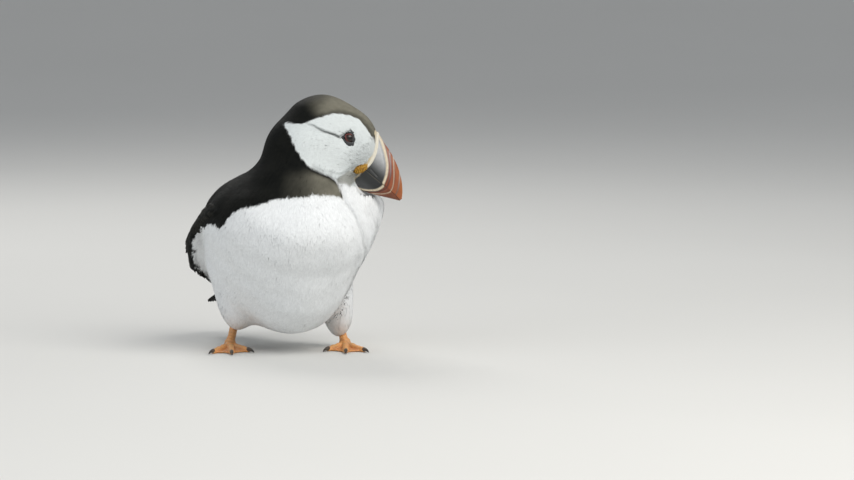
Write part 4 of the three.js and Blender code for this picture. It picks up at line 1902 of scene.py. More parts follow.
@dataclass
class Wing:
    """One folded wing: rows of feathers from the long ones underneath to the small ones on the shoulder.

    Attributes:
        form: The bird's shape.
        side: 1 for the left wing, -1 for the right.
        rows: The rows, from the lowest layer to the topmost.
    """

    form: Form
    side: int
    rows: tuple[Row, ...] = (
        Row(
            "primaries",
            Vane(8.0, 0.5, 1.4, 15, 7),
            count=7, root=(0.50, 0.46), tip=(1.0, 0.80), height=(0.16, 0.60), tip_height=(0.45, 0.9),
            level=(-2.2, -0.9), cling=0.3,
        ),
        Row(
            "secondaries",
            Vane(8.5, 0.5, 2.0, 12, 7),
            count=9, root=(0.36, 0.34), tip=(0.58, 0.82), height=(0.10, 0.66), tip_height=(0.08, 0.8),
            level=(-2.0, -0.6), cling=0.8,
        ),
        Row(
            "tertials",
            Vane(10.0, 0.5, 2.2, 12, 7),
            count=5, root=(0.34, 0.30), tip=(0.76, 0.83), height=(0.62, 0.94), tip_height=(0.66, 0.98),
            level=(-1.6, -0.2), cling=0.7,
        ),
        Row(
            "greater_coverts",
            Vane(7.0, 0.5, 2.4, 8, 7),
            count=11, root=(0.32, 0.22), tip=(0.46, 0.52), height=(0.06, 0.74), tip_height=(0.06, 0.74),
            level=(-1.3, 0.1),
        ),
        Row(
            "median_coverts",
            Vane(6.5, 0.45, 2.4, 7, 7),
            count=11, root=(0.27, 0.15), tip=(0.38, 0.38), height=(0.06, 0.78), tip_height=(0.06, 0.78),
            level=(-1.0, 0.3),
        ),
    )

    def place(self, length: Array, height: Array, level: Array) -> Array:
        """A spot of the wing: between its lower and upper edges seen from the side, out on the body.

        Args:
            length: The share of the wing's length, from the shoulder to the tip.
            height: The share of its height there.
            level: How far outside the wing's surface the spot lies.

        Returns:
            The spots. Beyond the body they lie seven millimetres off the middle plane.
        """
        form = self.form
        along = form.wing_top[0][0] + (form.wing_top[3][0] - form.wing_top[0][0]) * length
        fine = np.linspace(0, 1, 60)
        top = bezier(form.wing_top, fine)
        low = np.concatenate([bezier(form.wing_front[::-1], fine), bezier(form.wing_low[::-1], fine)])
        up = np.interp(along, *top.T)
        down = np.interp(along, *low.T)
        flat = np.stack([along, down + (up - down) * height], 1)
        level = level + form.wing_rise_at(flat)
        near, far = np.full(len(flat), 5.0), np.full(len(flat), 75.0)
        for _ in range(24):
            half = (near + far) / 2
            d, _, _ = form.body(np.stack([self.side * half, flat[:, 0], flat[:, 1]], 1))
            inside = d < level
            near, far = np.where(inside, half, near), np.where(inside, far, half)
        return np.stack([self.side * np.maximum(near, 7.0), flat[:, 0], flat[:, 1]], 1)

    def row(self, row: Row, seed: int) -> Shell:
        """Lays one row of feathers.

        Args:
            row: The row.
            seed: For its unevenness.

        Returns:
            The row's feathers.
        """
        rng = np.random.default_rng(seed)
        share = np.linspace(0, 1, row.count)
        jitter = rng.normal(0, 0.006, (2, row.count))
        ends = []
        for place, height, level, loose in (
            (row.root, row.height, row.level[0], jitter[0]),
            (row.tip, row.tip_height, row.level[1], jitter[1]),
        ):
            length = between(place, share) + loose
            heights = between(height, share)
            ends.append(self.place(np.clip(length, 0, 1), heights, np.full(row.count, level)))
        roots, tips = ends
        _, out, _ = self.form.body((roots + tips) / 2)
        way = unit(tips - roots)
        sides = unit(np.cross(out, way)) * self.side
        levels = np.tile(row.level, (row.count, 1)) + 0.6 * share[:, None]
        grid, values = vanes(self.form, row.kind, roots, tips, sides * self.side, levels, row.cling)
        return blades(grid, values, row.kind, {"dark": 1.0, "face": 0.0, "brown": 0.05}, seed)

    def coverts(self) -> Shell:
        """The lesser coverts and scapulars: rows of short, rounded feathers over the shoulder.

        Returns:
            The feathers.
        """
        rng = np.random.default_rng(50)
        shells = []
        kind = Vane(5.4, 0.35, 2.6, 5, 5, 0.2)
        for length in np.arange(0.06, 0.66, 0.03):
            ends = self.place(np.full(2, length), np.array([0.0, 1.0]), np.zeros(2))
            span = max(np.linalg.norm(ends[1] - ends[0]), 3.0)
            low = max(0.0, (length - 0.26) * 2.4)
            heights = np.arange(low + rng.uniform(0, 2.4) / span, 1.0, 2.7 / span)
            if not len(heights):
                continue
            later = 0.11 * (1 - length) ** 4 if self.side > 0 else 0
            start = length + rng.normal(0, 0.005, len(heights)) + later
            size = 0.06 + 0.05 * length
            roots = self.place(np.clip(start, 0, 1), heights, np.full(len(heights), -0.8))
            tips = self.place(np.clip(start + size, 0, 1), heights, np.full(len(heights), 0.6))
            _, out, _ = self.form.body(roots)
            sides = unit(np.cross(out, unit(tips - roots)))
            tip_level = 0.55 + rng.uniform(-0.15, 0.2, len(heights))
            levels = np.stack([np.full(len(heights), -0.9), tip_level], 1)
            grid, values = vanes(self.form, kind, roots, tips, sides, levels, 1.0)
            shells.append(blades(grid, values, kind, {"dark": 1.0, "face": 0.0, "brown": 0.07}, 60))
        return Shell.joined(shells)

    def build(self, finish: bpy.types.Material) -> None:
        """Dresses the wing.

        Args:
            finish: The plumage of large feathers.
        """
        name = "left" if self.side > 0 else "right"
        for place, row in enumerate(self.rows):
            dress(f"wing_{row.name}_{name}", self.row(row, 40 + place), finish)
        dress(f"wing_coverts_{name}", self.coverts(), finish)


@dataclass
class Tail:
    """The short closed fan of the tail.

    Attributes:
        root: Where its feathers start, in the middle.
        lean: How far it points down.
        length: From root to end.
        half_width: Of the fan at its root and at its end.
        count: How many feathers show.
        kind: Their kind.
    """

    root: tuple[float, float, float] = (1, 62, 40.5)
    lean: float = 22.0
    length: float = 49.0
    half_width: tuple[float, float] = (7.0, 12.0)
    count: int = 12
    kind: Vane = Vane(7.5, 0.5, 2.4, 12, 7)

    def build(self, form: Form, finish: bpy.types.Material) -> None:
        """Lays the feathers as a fan, the middle ones on top, and dresses it.

        Args:
            form: The bird's shape.
            finish: The plumage of large feathers.
        """
        back = turned(0, self.lean) @ np.array([0, 1.0, 0])
        up = turned(0, self.lean) @ np.array([0, 0, 1.0])
        place = np.linspace(-1, 1, self.count)
        stack = up * (-2.6 * np.abs(place)[:, None])
        side = np.array([1.0, 0, 0])
        roots = np.array(self.root) + side * self.half_width[0] * place[:, None] + stack * 0.6
        reach = self.length * (1 - 0.1 * np.abs(place) ** 2.2)[:, None]
        tips = np.array(self.root) + side * self.half_width[1] * place[:, None] + back * reach + stack
        sides = np.tile(-side, (self.count, 1))
        levels = np.full((self.count, 2), -30.0)
        grid, values = vanes(form, self.kind, roots, tips, sides, levels, -1.0)
        marks = {"dark": 1.0, "face": 0.0, "brown": 0.04}
        piece = dress("tail_feathers", blades(grid, values, self.kind, marks, 70), finish)
        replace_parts(piece, "tail")


# ----------------------------------------
# Bill, cere and rosettes
# ----------------------------------------


def curve_through(spots: Sequence[Sequence[float]], fine: int = 10) -> Array:
    """An open rounded line through points of a plane: a Catmull-Rom curve with its ends held.

    Args:
        spots: The points, in order.
        fine: How many points each stretch gets.

    Returns:
        The line's points.
    """
    p = np.asarray(spots, float)
    p = np.concatenate([[2 * p[0] - p[1]], p, [2 * p[-1] - p[-2]]])
    return np.concatenate([rounded([p[k : len(p) - 3 + k] for k in range(4)], fine), p[-2:-1]])


def both_sides(left: Array, backwards: bool) -> Array:
    """Rings of the head's left side carried on down its right side, the line between them shared.

    Args:
        left: Points or numbers by ring and by place up the left side.
        backwards: Whether each ring goes from right to left instead.

    Returns:
        The closed rings.
    """
    mirror = np.array([1, -1, 1]) if left.ndim == 3 else 1
    rings = np.concatenate([left, left[:, :-1][:, ::-1] * mirror], 1)
    return rings[:, ::-1] if backwards else rings


@dataclass
class Bill:
    """The summer bill: slate at its base, a cream ridge, and a red tip with grooves.

    Attributes:
        culmen: Handles of its upper edge in the head's side plane, and keel of its lower edge.
        mouth: Where the mouth's edge starts and ends, in x.
        half_width: Half its width at the base, and tip_half_width at the tip.
        tip_end: The share of its length at which its tip closes.
        cere: The share of its length at which the upper half's horn begins, under the cere.
        cere_rear: The cere's rear line: x by the height, and cere_front its front line.
        upper_ridge: The cream ridge's line on the upper half, and lower_ridge on the lower half.
        upper_grooves: The grooves of the upper half: the line, the depth, the half breadth and how pale.
        lower_grooves: The same for the lower half.
        nostril: The slit's two ends.
        corner: The left rosette's middle in the head's axes, corner_radii its half axes, and corner_turn
            how far it is turned about y, in degrees.
    """

    culmen: tuple = ((-12.5, 21.3), (4, 18.8), (19.5, 13.6), (27.7, 0.7))
    keel: tuple = ((-3.3, -13.4), (6, -14), (17, -5.5), (27.4, -0.5))
    mouth: tuple[float, float] = (-2.5, 27.4)
    half_width: float = 7.2
    tip_half_width: float = 1.1
    tip_end: float = 0.99
    cere: float = 0.05
    cere_rear: tuple = ((0.2, -3.2), (3.7, -4.4), (7.6, -6.4), (13.4, -10.6), (18, -13.2), (21.1, -14.4))
    cere_front: tuple = ((0.2, -0.9), (2.2, -0.6), (6.1, -0.6), (11.5, -2.2), (16.4, -5.2), (21.1, -9.4))
    upper_ridge: tuple = (
        (-10, 21.2), (-4.5, 18.6), (1.2, 15.2), (6.6, 11.0), (10.5, 6.0), (12.8, 0.5), (13.3, -1),
    )
    lower_ridge: tuple = ((13.3, 1), (13.4, -1.6), (11.6, -5.4), (6.8, -9.7), (1.8, -11.9), (-4, -12.6))
    upper_grooves: tuple = (
        (((4.5, 18.5), (10.5, 12.9), (15.7, 7.2), (18.6, 2.6), (19.2, -1)), 0.42, 0.42, 0.5),
        (((2.0, 18.0), (7.8, 13.0), (12.6, 7.4), (15.4, 1.9), (15.9, -1)), 0.40, 0.45, 0.0),
        (((12.5, 16.0), (17.6, 10.2), (21.2, 5.0), (22.8, 1.2), (23, -1)), 0.25, 0.45, 0.12),
    )
    lower_grooves: tuple = (
        (((19.2, 1), (18.9, -1.2), (16.4, -4.6), (12, -8.6), (9, -12)), 0.35, 0.45, 0.55),
        (((15.9, 1), (15.8, -1.5), (13.9, -5.1), (9.6, -9.2), (6, -12.4)), 0.35, 0.4, 0.0),
    )
    nostril: tuple = ((0.4, 2.7), (7.4, 2.0))
    corner: tuple[float, float, float] = (-3.9, 6.6, -1.4)
    corner_radii: tuple[float, float, float] = (4.9, 2.7, 2.7)
    corner_turn: float = -68.0

    def width(self, shares: Array) -> Array:
        """Half the bill's width by share of its length: it falls as (1 - s)^0.8 to the tip's."""
        return between((self.tip_half_width, self.half_width), (1 - np.minimum(shares, 1)) ** 0.8)

    @staticmethod
    def narrowing(heights: Array) -> Array:
        """The share of the width by height of a side: (1 - 0.62 h^1.3) sqrt(1 - h^8)."""
        return (1 - 0.62 * heights**1.3) * np.sqrt(np.maximum(1 - heights**8, 0))

    def slices(self, side: int, shares: Array, heights: Array) -> Array:
        """Points of one half by share of its length and height of its side, on the head's left.

        A slice goes from the mouth's edge to the outer edge; its half width is the width at that share
        times the narrowing at that height.

        Args:
            side: 1 for the upper half, -1 for the lower.
            shares: Along the bill, from its base.
            heights: From the mouth's edge (0) to the outer edge (1).

        Returns:
            Points in the head's axes.
        """
        outer = bezier(self.culmen if side > 0 else self.keel, shares)
        foot = np.stack(
            [
                between(self.mouth, shares),
                0.7 * shares + side * 0.12 - 0.6 * step(0.8, 1.0, shares),
            ],
            1,
        )
        flat = foot[:, None] + (outer - foot)[:, None] * heights[None, :, None]
        half = self.width(shares)[:, None] * self.narrowing(heights)[None]
        return np.stack([flat[..., 0], half, flat[..., 1]], -1)

    def relief(self, flat: Array, side: int) -> tuple[Array, dict[str, Array]]:
        """How far the horn stands up or in at places of the side plane, and its colours' shares.

        Args:
            flat: Places of the side plane.
            side: 1 for the upper half, -1 for the lower.

        Returns:
            The height at each place, and each colour's share.
        """
        ridge_line = curve_through(self.upper_ridge if side > 0 else self.lower_ridge)
        off, _ = line_distance(flat, ridge_line)
        broad = np.full(len(flat), 0.8) if side > 0 else ramp(flat[:, 0], (0, 0.5), (11, 0.6), (13, 0.8))
        ridge = np.exp(-((off / broad) ** 4))
        height = 0.6 * np.exp(-((off / (broad + 0.1)) ** 2))
        rim = step(2.4, 1.0, off)
        height -= 0.3 * np.exp(-(((np.abs(off) - broad - 0.8) / 0.55) ** 2))
        pale = np.zeros(len(flat))
        shade = np.zeros(len(flat))
        for spots, depth, breadth, light in self.upper_grooves if side > 0 else self.lower_grooves:
            gap, _ = line_distance(flat, curve_through(spots))
            cut = np.exp(-((gap / breadth) ** 2))
            height -= depth * cut
            pale = np.maximum(pale, light * np.exp(-((gap / (breadth * 0.9)) ** 4)))
            shade = np.maximum(shade, (1 - light) * cut)
        shade = np.maximum(shade, 0.5 * rim)
        red = step(0.4, 1.2, off)
        if side > 0:
            gap, along = line_distance(flat, np.array(self.nostril))
            height -= 0.35 * np.exp(-((gap / 0.32) ** 2)) * step(0.0, 0.1, along) * step(1.0, 0.9, along)
        lip = np.abs(flat[:, 1] - 0.7 * (flat[:, 0] - self.mouth[0]) / (self.mouth[1] - self.mouth[0]))
        height += 0.15 * np.exp(-((lip / 0.6) ** 2)) * (1 - red)
        edge = 0.14 * np.exp(-((lip / 0.35) ** 2)) * (1 - red) * step(-2, 1.5, flat[:, 0]) * (side < 0)
        if side < 0:
            base = step(-1.2, -2.6, flat[:, 0] + 0.6 * ripple(np.c_[flat, flat[:, :1]], 3, 5))
            edge = np.maximum(edge, 0.8 * base)
            shade = np.maximum(shade, 0.45 * step(6.0, 20.0, flat[:, 0]))
        return height, {
            "red": red * (1 - 0.55 * shade),
            "cream": np.maximum.reduce([ridge, pale * red, edge]),
            "shade": shade,
        }

    def half(self, side: int) -> Shell:
        """One half of the bill as a closed shell with its relief and colours.

        Args:
            side: 1 for the upper half, -1 for the lower.

        Returns:
            The half.
        """
        start = self.cere if side > 0 else 0.0
        shares = between((start, self.tip_end), np.linspace(0, 1, 150) ** 0.95)
        heights = 1 - (1 - np.linspace(0, 1, 56)) ** 1.4
        left = self.slices(side, shares, heights)
        height, looks = self.relief(left[..., [0, 2]].reshape(-1, 2), side)
        height = height.reshape(left.shape[:2])
        along, up = np.gradient(left, axis=0), np.gradient(left, axis=1)
        out = unit(np.cross(up, along)) * side
        out *= np.where(out[..., 1:2] < 0, -1, 1)
        fade = step(1.0, 0.9, heights)[None] * step(1.0, 0.97, shares)[:, None]
        left = left + out * (height * fade)[..., None]
        edge_drop = (height * (1 - fade) * 0.5)[..., None] * np.array([0, 0, side])
        left = left + edge_drop
        front = left[..., 0]
        warm = step(6.0, 26.0, front) * 0.5 + 0.5 * step(0.62, 0.95, heights)[None] * (side > 0)
        up = left[..., 2]
        # light: on the upper half, paler towards the top, partly painted light from above; on the lower
        # half, a little paler towards its lower edge.
        paler = step(2.0, 14.0, up) if side > 0 else 0.14 * step(-4.0, -10.0, up)
        looks = {key: value.reshape(front.shape) for key, value in looks.items()}
        looks |= {"warm": np.clip(warm, 0, 1), "light": paler}
        values = {key: both_sides(value, side > 0) for key, value in looks.items()}
        shell = Shell.tube(both_sides(left, side > 0), values)
        shell.points = on_head(shell.points)
        return shell

    def cere_shell(self) -> Shell:
        """The pale band over the upper half's base: two low folds, dotted with pits.

        It goes over the base from its rear to its front line, a quarter of a millimetre outside the horn.

        Returns:
            The band.
        """
        span = np.linspace(0, 1, 34)[:, None]
        heights = (1 - (1 - np.linspace(0, 1, 60)) ** 1.3)[None]
        up = 0.2 + 20.9 * heights
        rear, front = ramp(up, *self.cere_rear), ramp(up, *self.cere_front)
        rear, front = evened(rear[0])[None], evened(front[0])[None]
        across = rear + (front - rear) * span
        base = self.culmen[0][0] * heights + self.mouth[0] * (1 - heights)
        share = np.clip((across - base) / (self.mouth[1] - self.mouth[0]), -0.2, 1)
        width = self.width(share) + 0.25
        high = up + 0.35 * heights**4 * span
        left = np.stack([across, width * self.narrowing(heights), high + np.zeros_like(across)], -1)
        fold = 0.45 * np.sqrt(np.clip(4 * span * (1 - span), 0, 1))
        fold = fold + 0.22 * np.cos(span * 4 * math.pi - math.pi)
        fold = np.where((span < 0.03) | (span > 0.97), -0.6, fold)
        pits = ripple(left.reshape(-1, 3) * np.array([1.0, 0.2, 1.0]), 1.1, 81, 8).reshape(left.shape[:2])
        height = fold - 0.12 * np.clip(pits, 0, 1.2)
        outward = np.zeros_like(left)
        outward[..., 1] = 1 - step(0.8, 1.0, heights)
        outward[..., 2] = step(0.6, 1.0, heights)
        left = left + unit(outward) * height[..., None]
        pale = step(0.5, 0.66, span) * np.ones_like(height)
        shell = Shell.tube(both_sides(left, True), {"second": both_sides(pale, True)})
        shell.points = on_head(shell.points)
        return shell

    def rosette(self) -> Shell:
        """The left corner of the mouth: a soft swelling with folds that ring the corner.

        Returns:
            The swelling.
        """
        centre, radii = np.array(self.corner), np.array(self.corner_radii)
        turn = about(1, self.corner_turn).T
        ball = sphere(np.zeros(3), radii, np.eye(3), 90, 64)
        local = ball.points @ turn + centre
        out = unit((ball.points / radii**2) @ turn)
        corner = np.hypot(local[:, 0] - 1.2, local[:, 2] - 0.6)
        wavy = corner + 0.35 * ripple(local, 2.6, 82)
        folds = np.abs(np.sin(math.pi * wavy / 1.25))
        # second: painted shade in the bottoms of the folds.
        ball.values = {"second": step(0.55, 0.05, folds)}
        local = local + out * (0.5 * folds - 0.25 + 0.12 * ripple(local, 1.3, 83))[:, None]
        ball.points = on_head(local)
        return ball

    def build(self) -> None:
        """Dresses both halves, the cere and the rosettes."""
        horn = BillHorn().material()
        for side, name in ((1, "bill_upper"), (-1, "bill_lower")):
            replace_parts(dress(name + "_horn", self.half(side), horn), name)
        cere = Horn(
            "cere", (0.50, 0.43, 0.30), second=(0.66, 0.62, 0.52), scale=700, amount=0.3, roughness=0.6
        )
        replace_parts(dress("cere_horn", self.cere_shell(), cere.material()), "cere")
        soft = Horn(
            # The second colour is the painted shade in the rosette's creases.
            "rosette",
            (0.38, 0.195, 0.008),
            second=(0.20, 0.085, 0.005), scale=600, amount=0.3, roughness=0.5, bump=0.0002, glow=0.15,
        ).material()
        left = self.rosette()
        for name, shell in (("left", left), ("right", left.mirrored())):
            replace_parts(dress(f"rosette_skin_{name}", shell, soft), f"rosette_{name}")


@dataclass(frozen=True)
class BillHorn:
    """The bill's horn: slate, red and cream by the numbers on the mesh, with fine growth lines.

    Attributes:
        slate: The base's colour, and slate_light the paler slate where it runs up to the forehead: partly
            the horn's own paler grey, partly painted light on its upper part.
        red: The tip's colour, and orange along its upper edge.
        cream: The ridge's colour.
    """

    slate: Colour = (0.012, 0.014, 0.014)
    slate_light: Colour = (0.42, 0.43, 0.44)
    red: Colour = (0.215, 0.042, 0.013)
    orange: Colour = (0.34, 0.105, 0.02)
    cream: Colour = (0.62, 0.53, 0.38)

    def material(self) -> bpy.types.Material:
        """Builds the material.

        Returns:
            The material.
        """
        material, nodes, shader = new_material("bill_horn")
        base = nodes.mix(nodes.value("light"), self.slate, self.slate_light)
        tip = nodes.mix(nodes.value("warm"), self.red, self.orange)
        tip = nodes.mix(nodes.math("MULTIPLY", nodes.value("shade"), 0.6), tip, (0.10, 0.012, 0.006))
        colour = nodes.mix(nodes.value("red"), base, tip)
        patchy = nodes.math("MULTIPLY", nodes.value("cream"), nodes.spread(nodes.noise(900.0), 0.15, 0.45))
        colour = nodes.mix(patchy, colour, self.cream)
        mottled(nodes, shader, (colour, 420.0, 0.45), (0.5, 0.00012), (0.3, 0.16))
        shader.inputs["Coat Weight"].default_value = 0.15
        shader.inputs["Coat Roughness"].default_value = 0.3
        return material


# ----------------------------------------
# Eyes
# ----------------------------------------


@dataclass
class Eye:
    """The left eye with its red lids and the two horny plates around it.

    Attributes:
        form: The bird's shape.
        place: Its middle in the head's axes, before it is set in.
        radius: The eyeball's.
        depth: How far its middle lies in from the skin's place in the solids.
        upper: The upper plate's outline in the head's side plane, and lower the lower plate's.
    """

    form: Form
    place: tuple[float, float, float] = (-21.5, 11.75, 8.2)
    radius: float = 4.3
    depth: float = 2.1
    upper: tuple = (
        (-25.4, 6.4), (-24.2, 9.2), (-22.4, 13.5), (-19.9, 11.8), (-17.6, 10.2), (-16.9, 8.0),
        (-18.6, 8.0), (-20.4, 8.3), (-23.0, 7.2),
    )
    lower: tuple = (
        (-25.6, 5.9), (-23.2, 5.0), (-20.4, 4.4), (-18.0, 4.7), (-16.4, 6.2), (-16.5, 8.2), (-18.4, 7.9),
        (-20.6, 6.6), (-23.6, 6.3),
    )

    def on_skin(self, flat: Array, level: Array | float) -> Array:
        """Places of the side plane, on the head's left, at a level of the surface, in the bird's axes.

        Args:
            flat: Places of the side plane.
            level: Their distance to the surface.

        Returns:
            A point for each place.
        """
        near, far = np.zeros(len(flat)), np.full(len(flat), 24.0)
        for _ in range(24):
            half = (near + far) / 2
            spots = on_head(np.stack([flat[:, 0], half, flat[:, 1]], 1))
            d, _, _ = self.form.surface(spots)
            near, far = np.where(d < level, half, near), np.where(d < level, far, half)
        return on_head(np.stack([flat[:, 0], near, flat[:, 1]], 1))

    def axis(self) -> Array:
        """The way that the eye looks: straight out of the face, in the bird's axes.

        Returns:
            The way, of length one.
        """
        place = self.on_skin(np.array([[self.place[0], self.place[2]]]), 0.0)
        _, way, _ = self.form.body(place)
        return unit(way[0] + 0.15 * head_way(1, 0.3, 0))

    def ball(self) -> Shell:
        """The eyeball: iris and pupil by the angle from its axis, with a slightly raised cornea.

        Returns:
            The eyeball.
        """
        look = self.axis()
        centre = on_head(np.array(self.place)) - self.depth * look
        eye = sphere(np.zeros(3), (1, 1, 1), np.eye(3), 64, 48)
        angle = np.degrees(np.arccos(np.clip(eye.points @ look, -1, 1)))
        grow = self.radius * (1 + 0.035 * step(34, 20, angle))
        eye.values = {"second": step(17, 15.5, angle), "third": step(29, 33, angle)}
        eye.points = centre + eye.points * grow[:, None]
        return eye

    def lid(self) -> Shell:
        """The red ring of the lids: a tube around the eye, drawn out to a corner at front and rear.

        Returns:
            The ring.
        """
        look = self.axis()
        centre = on_head(np.array(self.place)) - self.depth * look
        turn = full_turn(72)
        across = unit(np.cross(head_way(0, 0, 1), look))
        up = np.cross(look, across)
        corner = np.abs(np.cos(turn)) ** 8
        reach = 2.55 + 0.55 * corner
        rim = (reach * np.cos(turn))[:, None] * across + (0.94 * reach * np.sin(turn))[:, None] * up
        depth = np.sqrt(np.maximum(self.radius**2 - 2.55**2, 0)) + 0.1 - 0.35 * corner
        path = centre + rim + depth[:, None] * look
        around = full_turn(12)
        out = unit(rim)
        thick = 0.4 + 0.03 * np.sin(turn * 9 + 1.0)
        rings = (
            path[:, None]
            + (thick[:, None] * np.cos(around))[..., None] * out[:, None]
            + (0.75 * thick[:, None] * np.sin(around))[..., None] * look
        )
        rings = np.concatenate([rings, rings[:1]])
        faces = grid_faces(len(turn), 12, True)
        last = (len(turn) - 1) * 12
        i = np.arange(12)
        after = (i + 1) % 12
        seam = np.stack([last + i, last + after, after, i], 1)
        return Shell(rings[:-1].reshape(-1, 3), [np.concatenate([faces, seam])])

    def plate(self, outline: tuple, rise: float, seed: int) -> Shell:
        """A horny plate: rings drawn in from its outline, domed as sqrt(1 - r^2), over a flat underside.

        Args:
            outline: Its corners.
            rise: How high it is domed.
            seed: For its unevenness.

        Returns:
            The plate.
        """
        edge = Outline.through(outline, 10).spots
        middle = edge.mean(0)
        shrink = np.array([1.0, 0.94, 0.84, 0.68, 0.48, 0.25, 0.05])
        rings = []
        for share in np.concatenate([[0.3], shrink]):
            flat = middle + (edge - middle) * share
            dome = rise * math.sqrt(max(1 - share**2.5, 0)) if len(rings) else -0.9
            level = dome - 0.35 + 0.1 * ripple(np.c_[flat, flat[:, :1]], 2.0, seed) * (share < 0.99)
            rings.append(self.on_skin(flat, level))
        return Shell.tube(np.stack(rings))

    def build(self) -> None:
        """Dresses both eyes, lids and plates."""
        ball = EyeGloss().material()
        # The lids' red and the plates' slate are darkened to the eye's shaded look: painted shade over their
        # own colours.
        lid = Horn("lid", (0.11, 0.011, 0.007), scale=900, amount=0.4, roughness=0.45, glow=0.1).material()
        horn = Horn("eye_plate", (0.011, 0.013, 0.015), scale=800, amount=0.5, roughness=0.5).material()
        shells = {
            "eye_{}": (self.ball(), ball, "eye", "eyeball_{}"),
            "lid": (self.lid(), lid, "eye_plate", "lid_{}"),
            "eye_plate_upper_{}": (self.plate(self.upper, 0.75, 91), horn, "eye_plate", "plate_upper_{}"),
            "eye_plate_lower_{}": (self.plate(self.lower, 0.8, 92), horn, "eye_plate", "plate_lower_{}"),
        }
        for node, (left, finish, slot, name) in shells.items():
            for side, shell in (("left", left), ("right", left.mirrored())):
                piece = dress(name.format(side), shell, finish)
                if "{}" in node:
                    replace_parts(piece, node.format(side))


@dataclass(frozen=True)
class EyeGloss:
    """The wet eye: a dark brown iris, a black pupil and the darker white at its edge.

    Attributes:
        iris: The iris's colour.
        pupil: The pupil's.
        edge: The eyeball's beyond the iris.
    """

    iris: Colour = (0.022, 0.010, 0.006)
    pupil: Colour = (0.002, 0.002, 0.002)
    edge: Colour = (0.012, 0.008, 0.007)

    def material(self) -> bpy.types.Material:
        """Builds the material.

        Returns:
            The material.
        """
        material, nodes, shader = new_material("eye_gloss")
        colour = nodes.mix(nodes.value("second"), self.iris, self.pupil)
        colour = nodes.mix(nodes.value("third"), colour, self.edge)
        mottled(nodes, shader, (colour, 900.0, 0.6))
        shader.inputs["Roughness"].default_value = 0.06
        shader.inputs["Specular IOR Level"].default_value = 0.35
        shader.inputs["Coat Weight"].default_value = 0.25
        shader.inputs["Coat Roughness"].default_value = 0.02
        return material


# ----------------------------------------
# Feet
# ----------------------------------------


@dataclass(frozen=True)
class Toe:
    """One toe.

    Attributes:
        name: Which one it is.
        length: From the toes' root to its claw.
        spread: How far it turns off the foot's heading, outwards, in degrees.
        claw: The claw's length.
        joints: The shares of its length where it bulges.
    """

    name: str
    length: float
    spread: float
    claw: float
    joints: tuple[float, ...]


TOES = (
    Toe("inner", 25, 28, 7, (0.18, 0.68)),
    Toe("middle", 34, 2, 8, (0.15, 0.5, 0.8)),
    Toe("outer", 31, -20, 7, (0.14, 0.4, 0.66, 0.86)),
)


def oval_rings(path: Array, radii: Array, aside: Array, above: Array, turn: Array) -> Array:
    """Rings about a path: cos(turn) times the one radius aside, plus sin(turn) times the other above.

    Args:
        path: The middle of each ring.
        radii: Half its width and half its height at each, two by two.
        aside: Each ring's own side.
        above: The way that its second radius goes.
        turn: The turns of the points in a ring.

    Returns:
        The rings.
    """
    reach = (radii[:, :1] * np.cos(turn))[..., None] * aside[:, None]
    reach = reach + (radii[:, 1:] * np.sin(turn))[..., None] * above[:, None]
    return path[:, None] + reach


def tube_along(path: Array, radii: Array, around: int = 20) -> Array:
    """Rings of a round or oval tube along a path that lies or rises a little.

    Args:
        path: The middle of each ring.
        radii: Half its width and half its height at each, two by two.
        around: Points in a ring.

    Returns:
        The rings, each from its own side on.
    """
    way = unit(np.gradient(path, axis=0))
    aside = unit(np.cross(way, np.array([0.0, 0.0, 1.0])) + np.array([1e-9, 0, 0]))
    return oval_rings(path, radii, aside, np.cross(aside, way), full_turn(around))


def upright_tube(path: Array, radii: Array, front: Array) -> Array:
    """Rings of an oval tube along an upright path, its second radius towards the front.

    Args:
        path: The tube's middle line.
        radii: Its two radii at each point.
        front: Which way is forward.

    Returns:
        The rings.
    """
    way = unit(np.gradient(path, axis=0))
    ahead = unit(front - (way * front).sum(1, keepdims=True) * way)
    return oval_rings(path, radii, np.cross(ahead, way), ahead, full_turn(28))[:, ::-1]


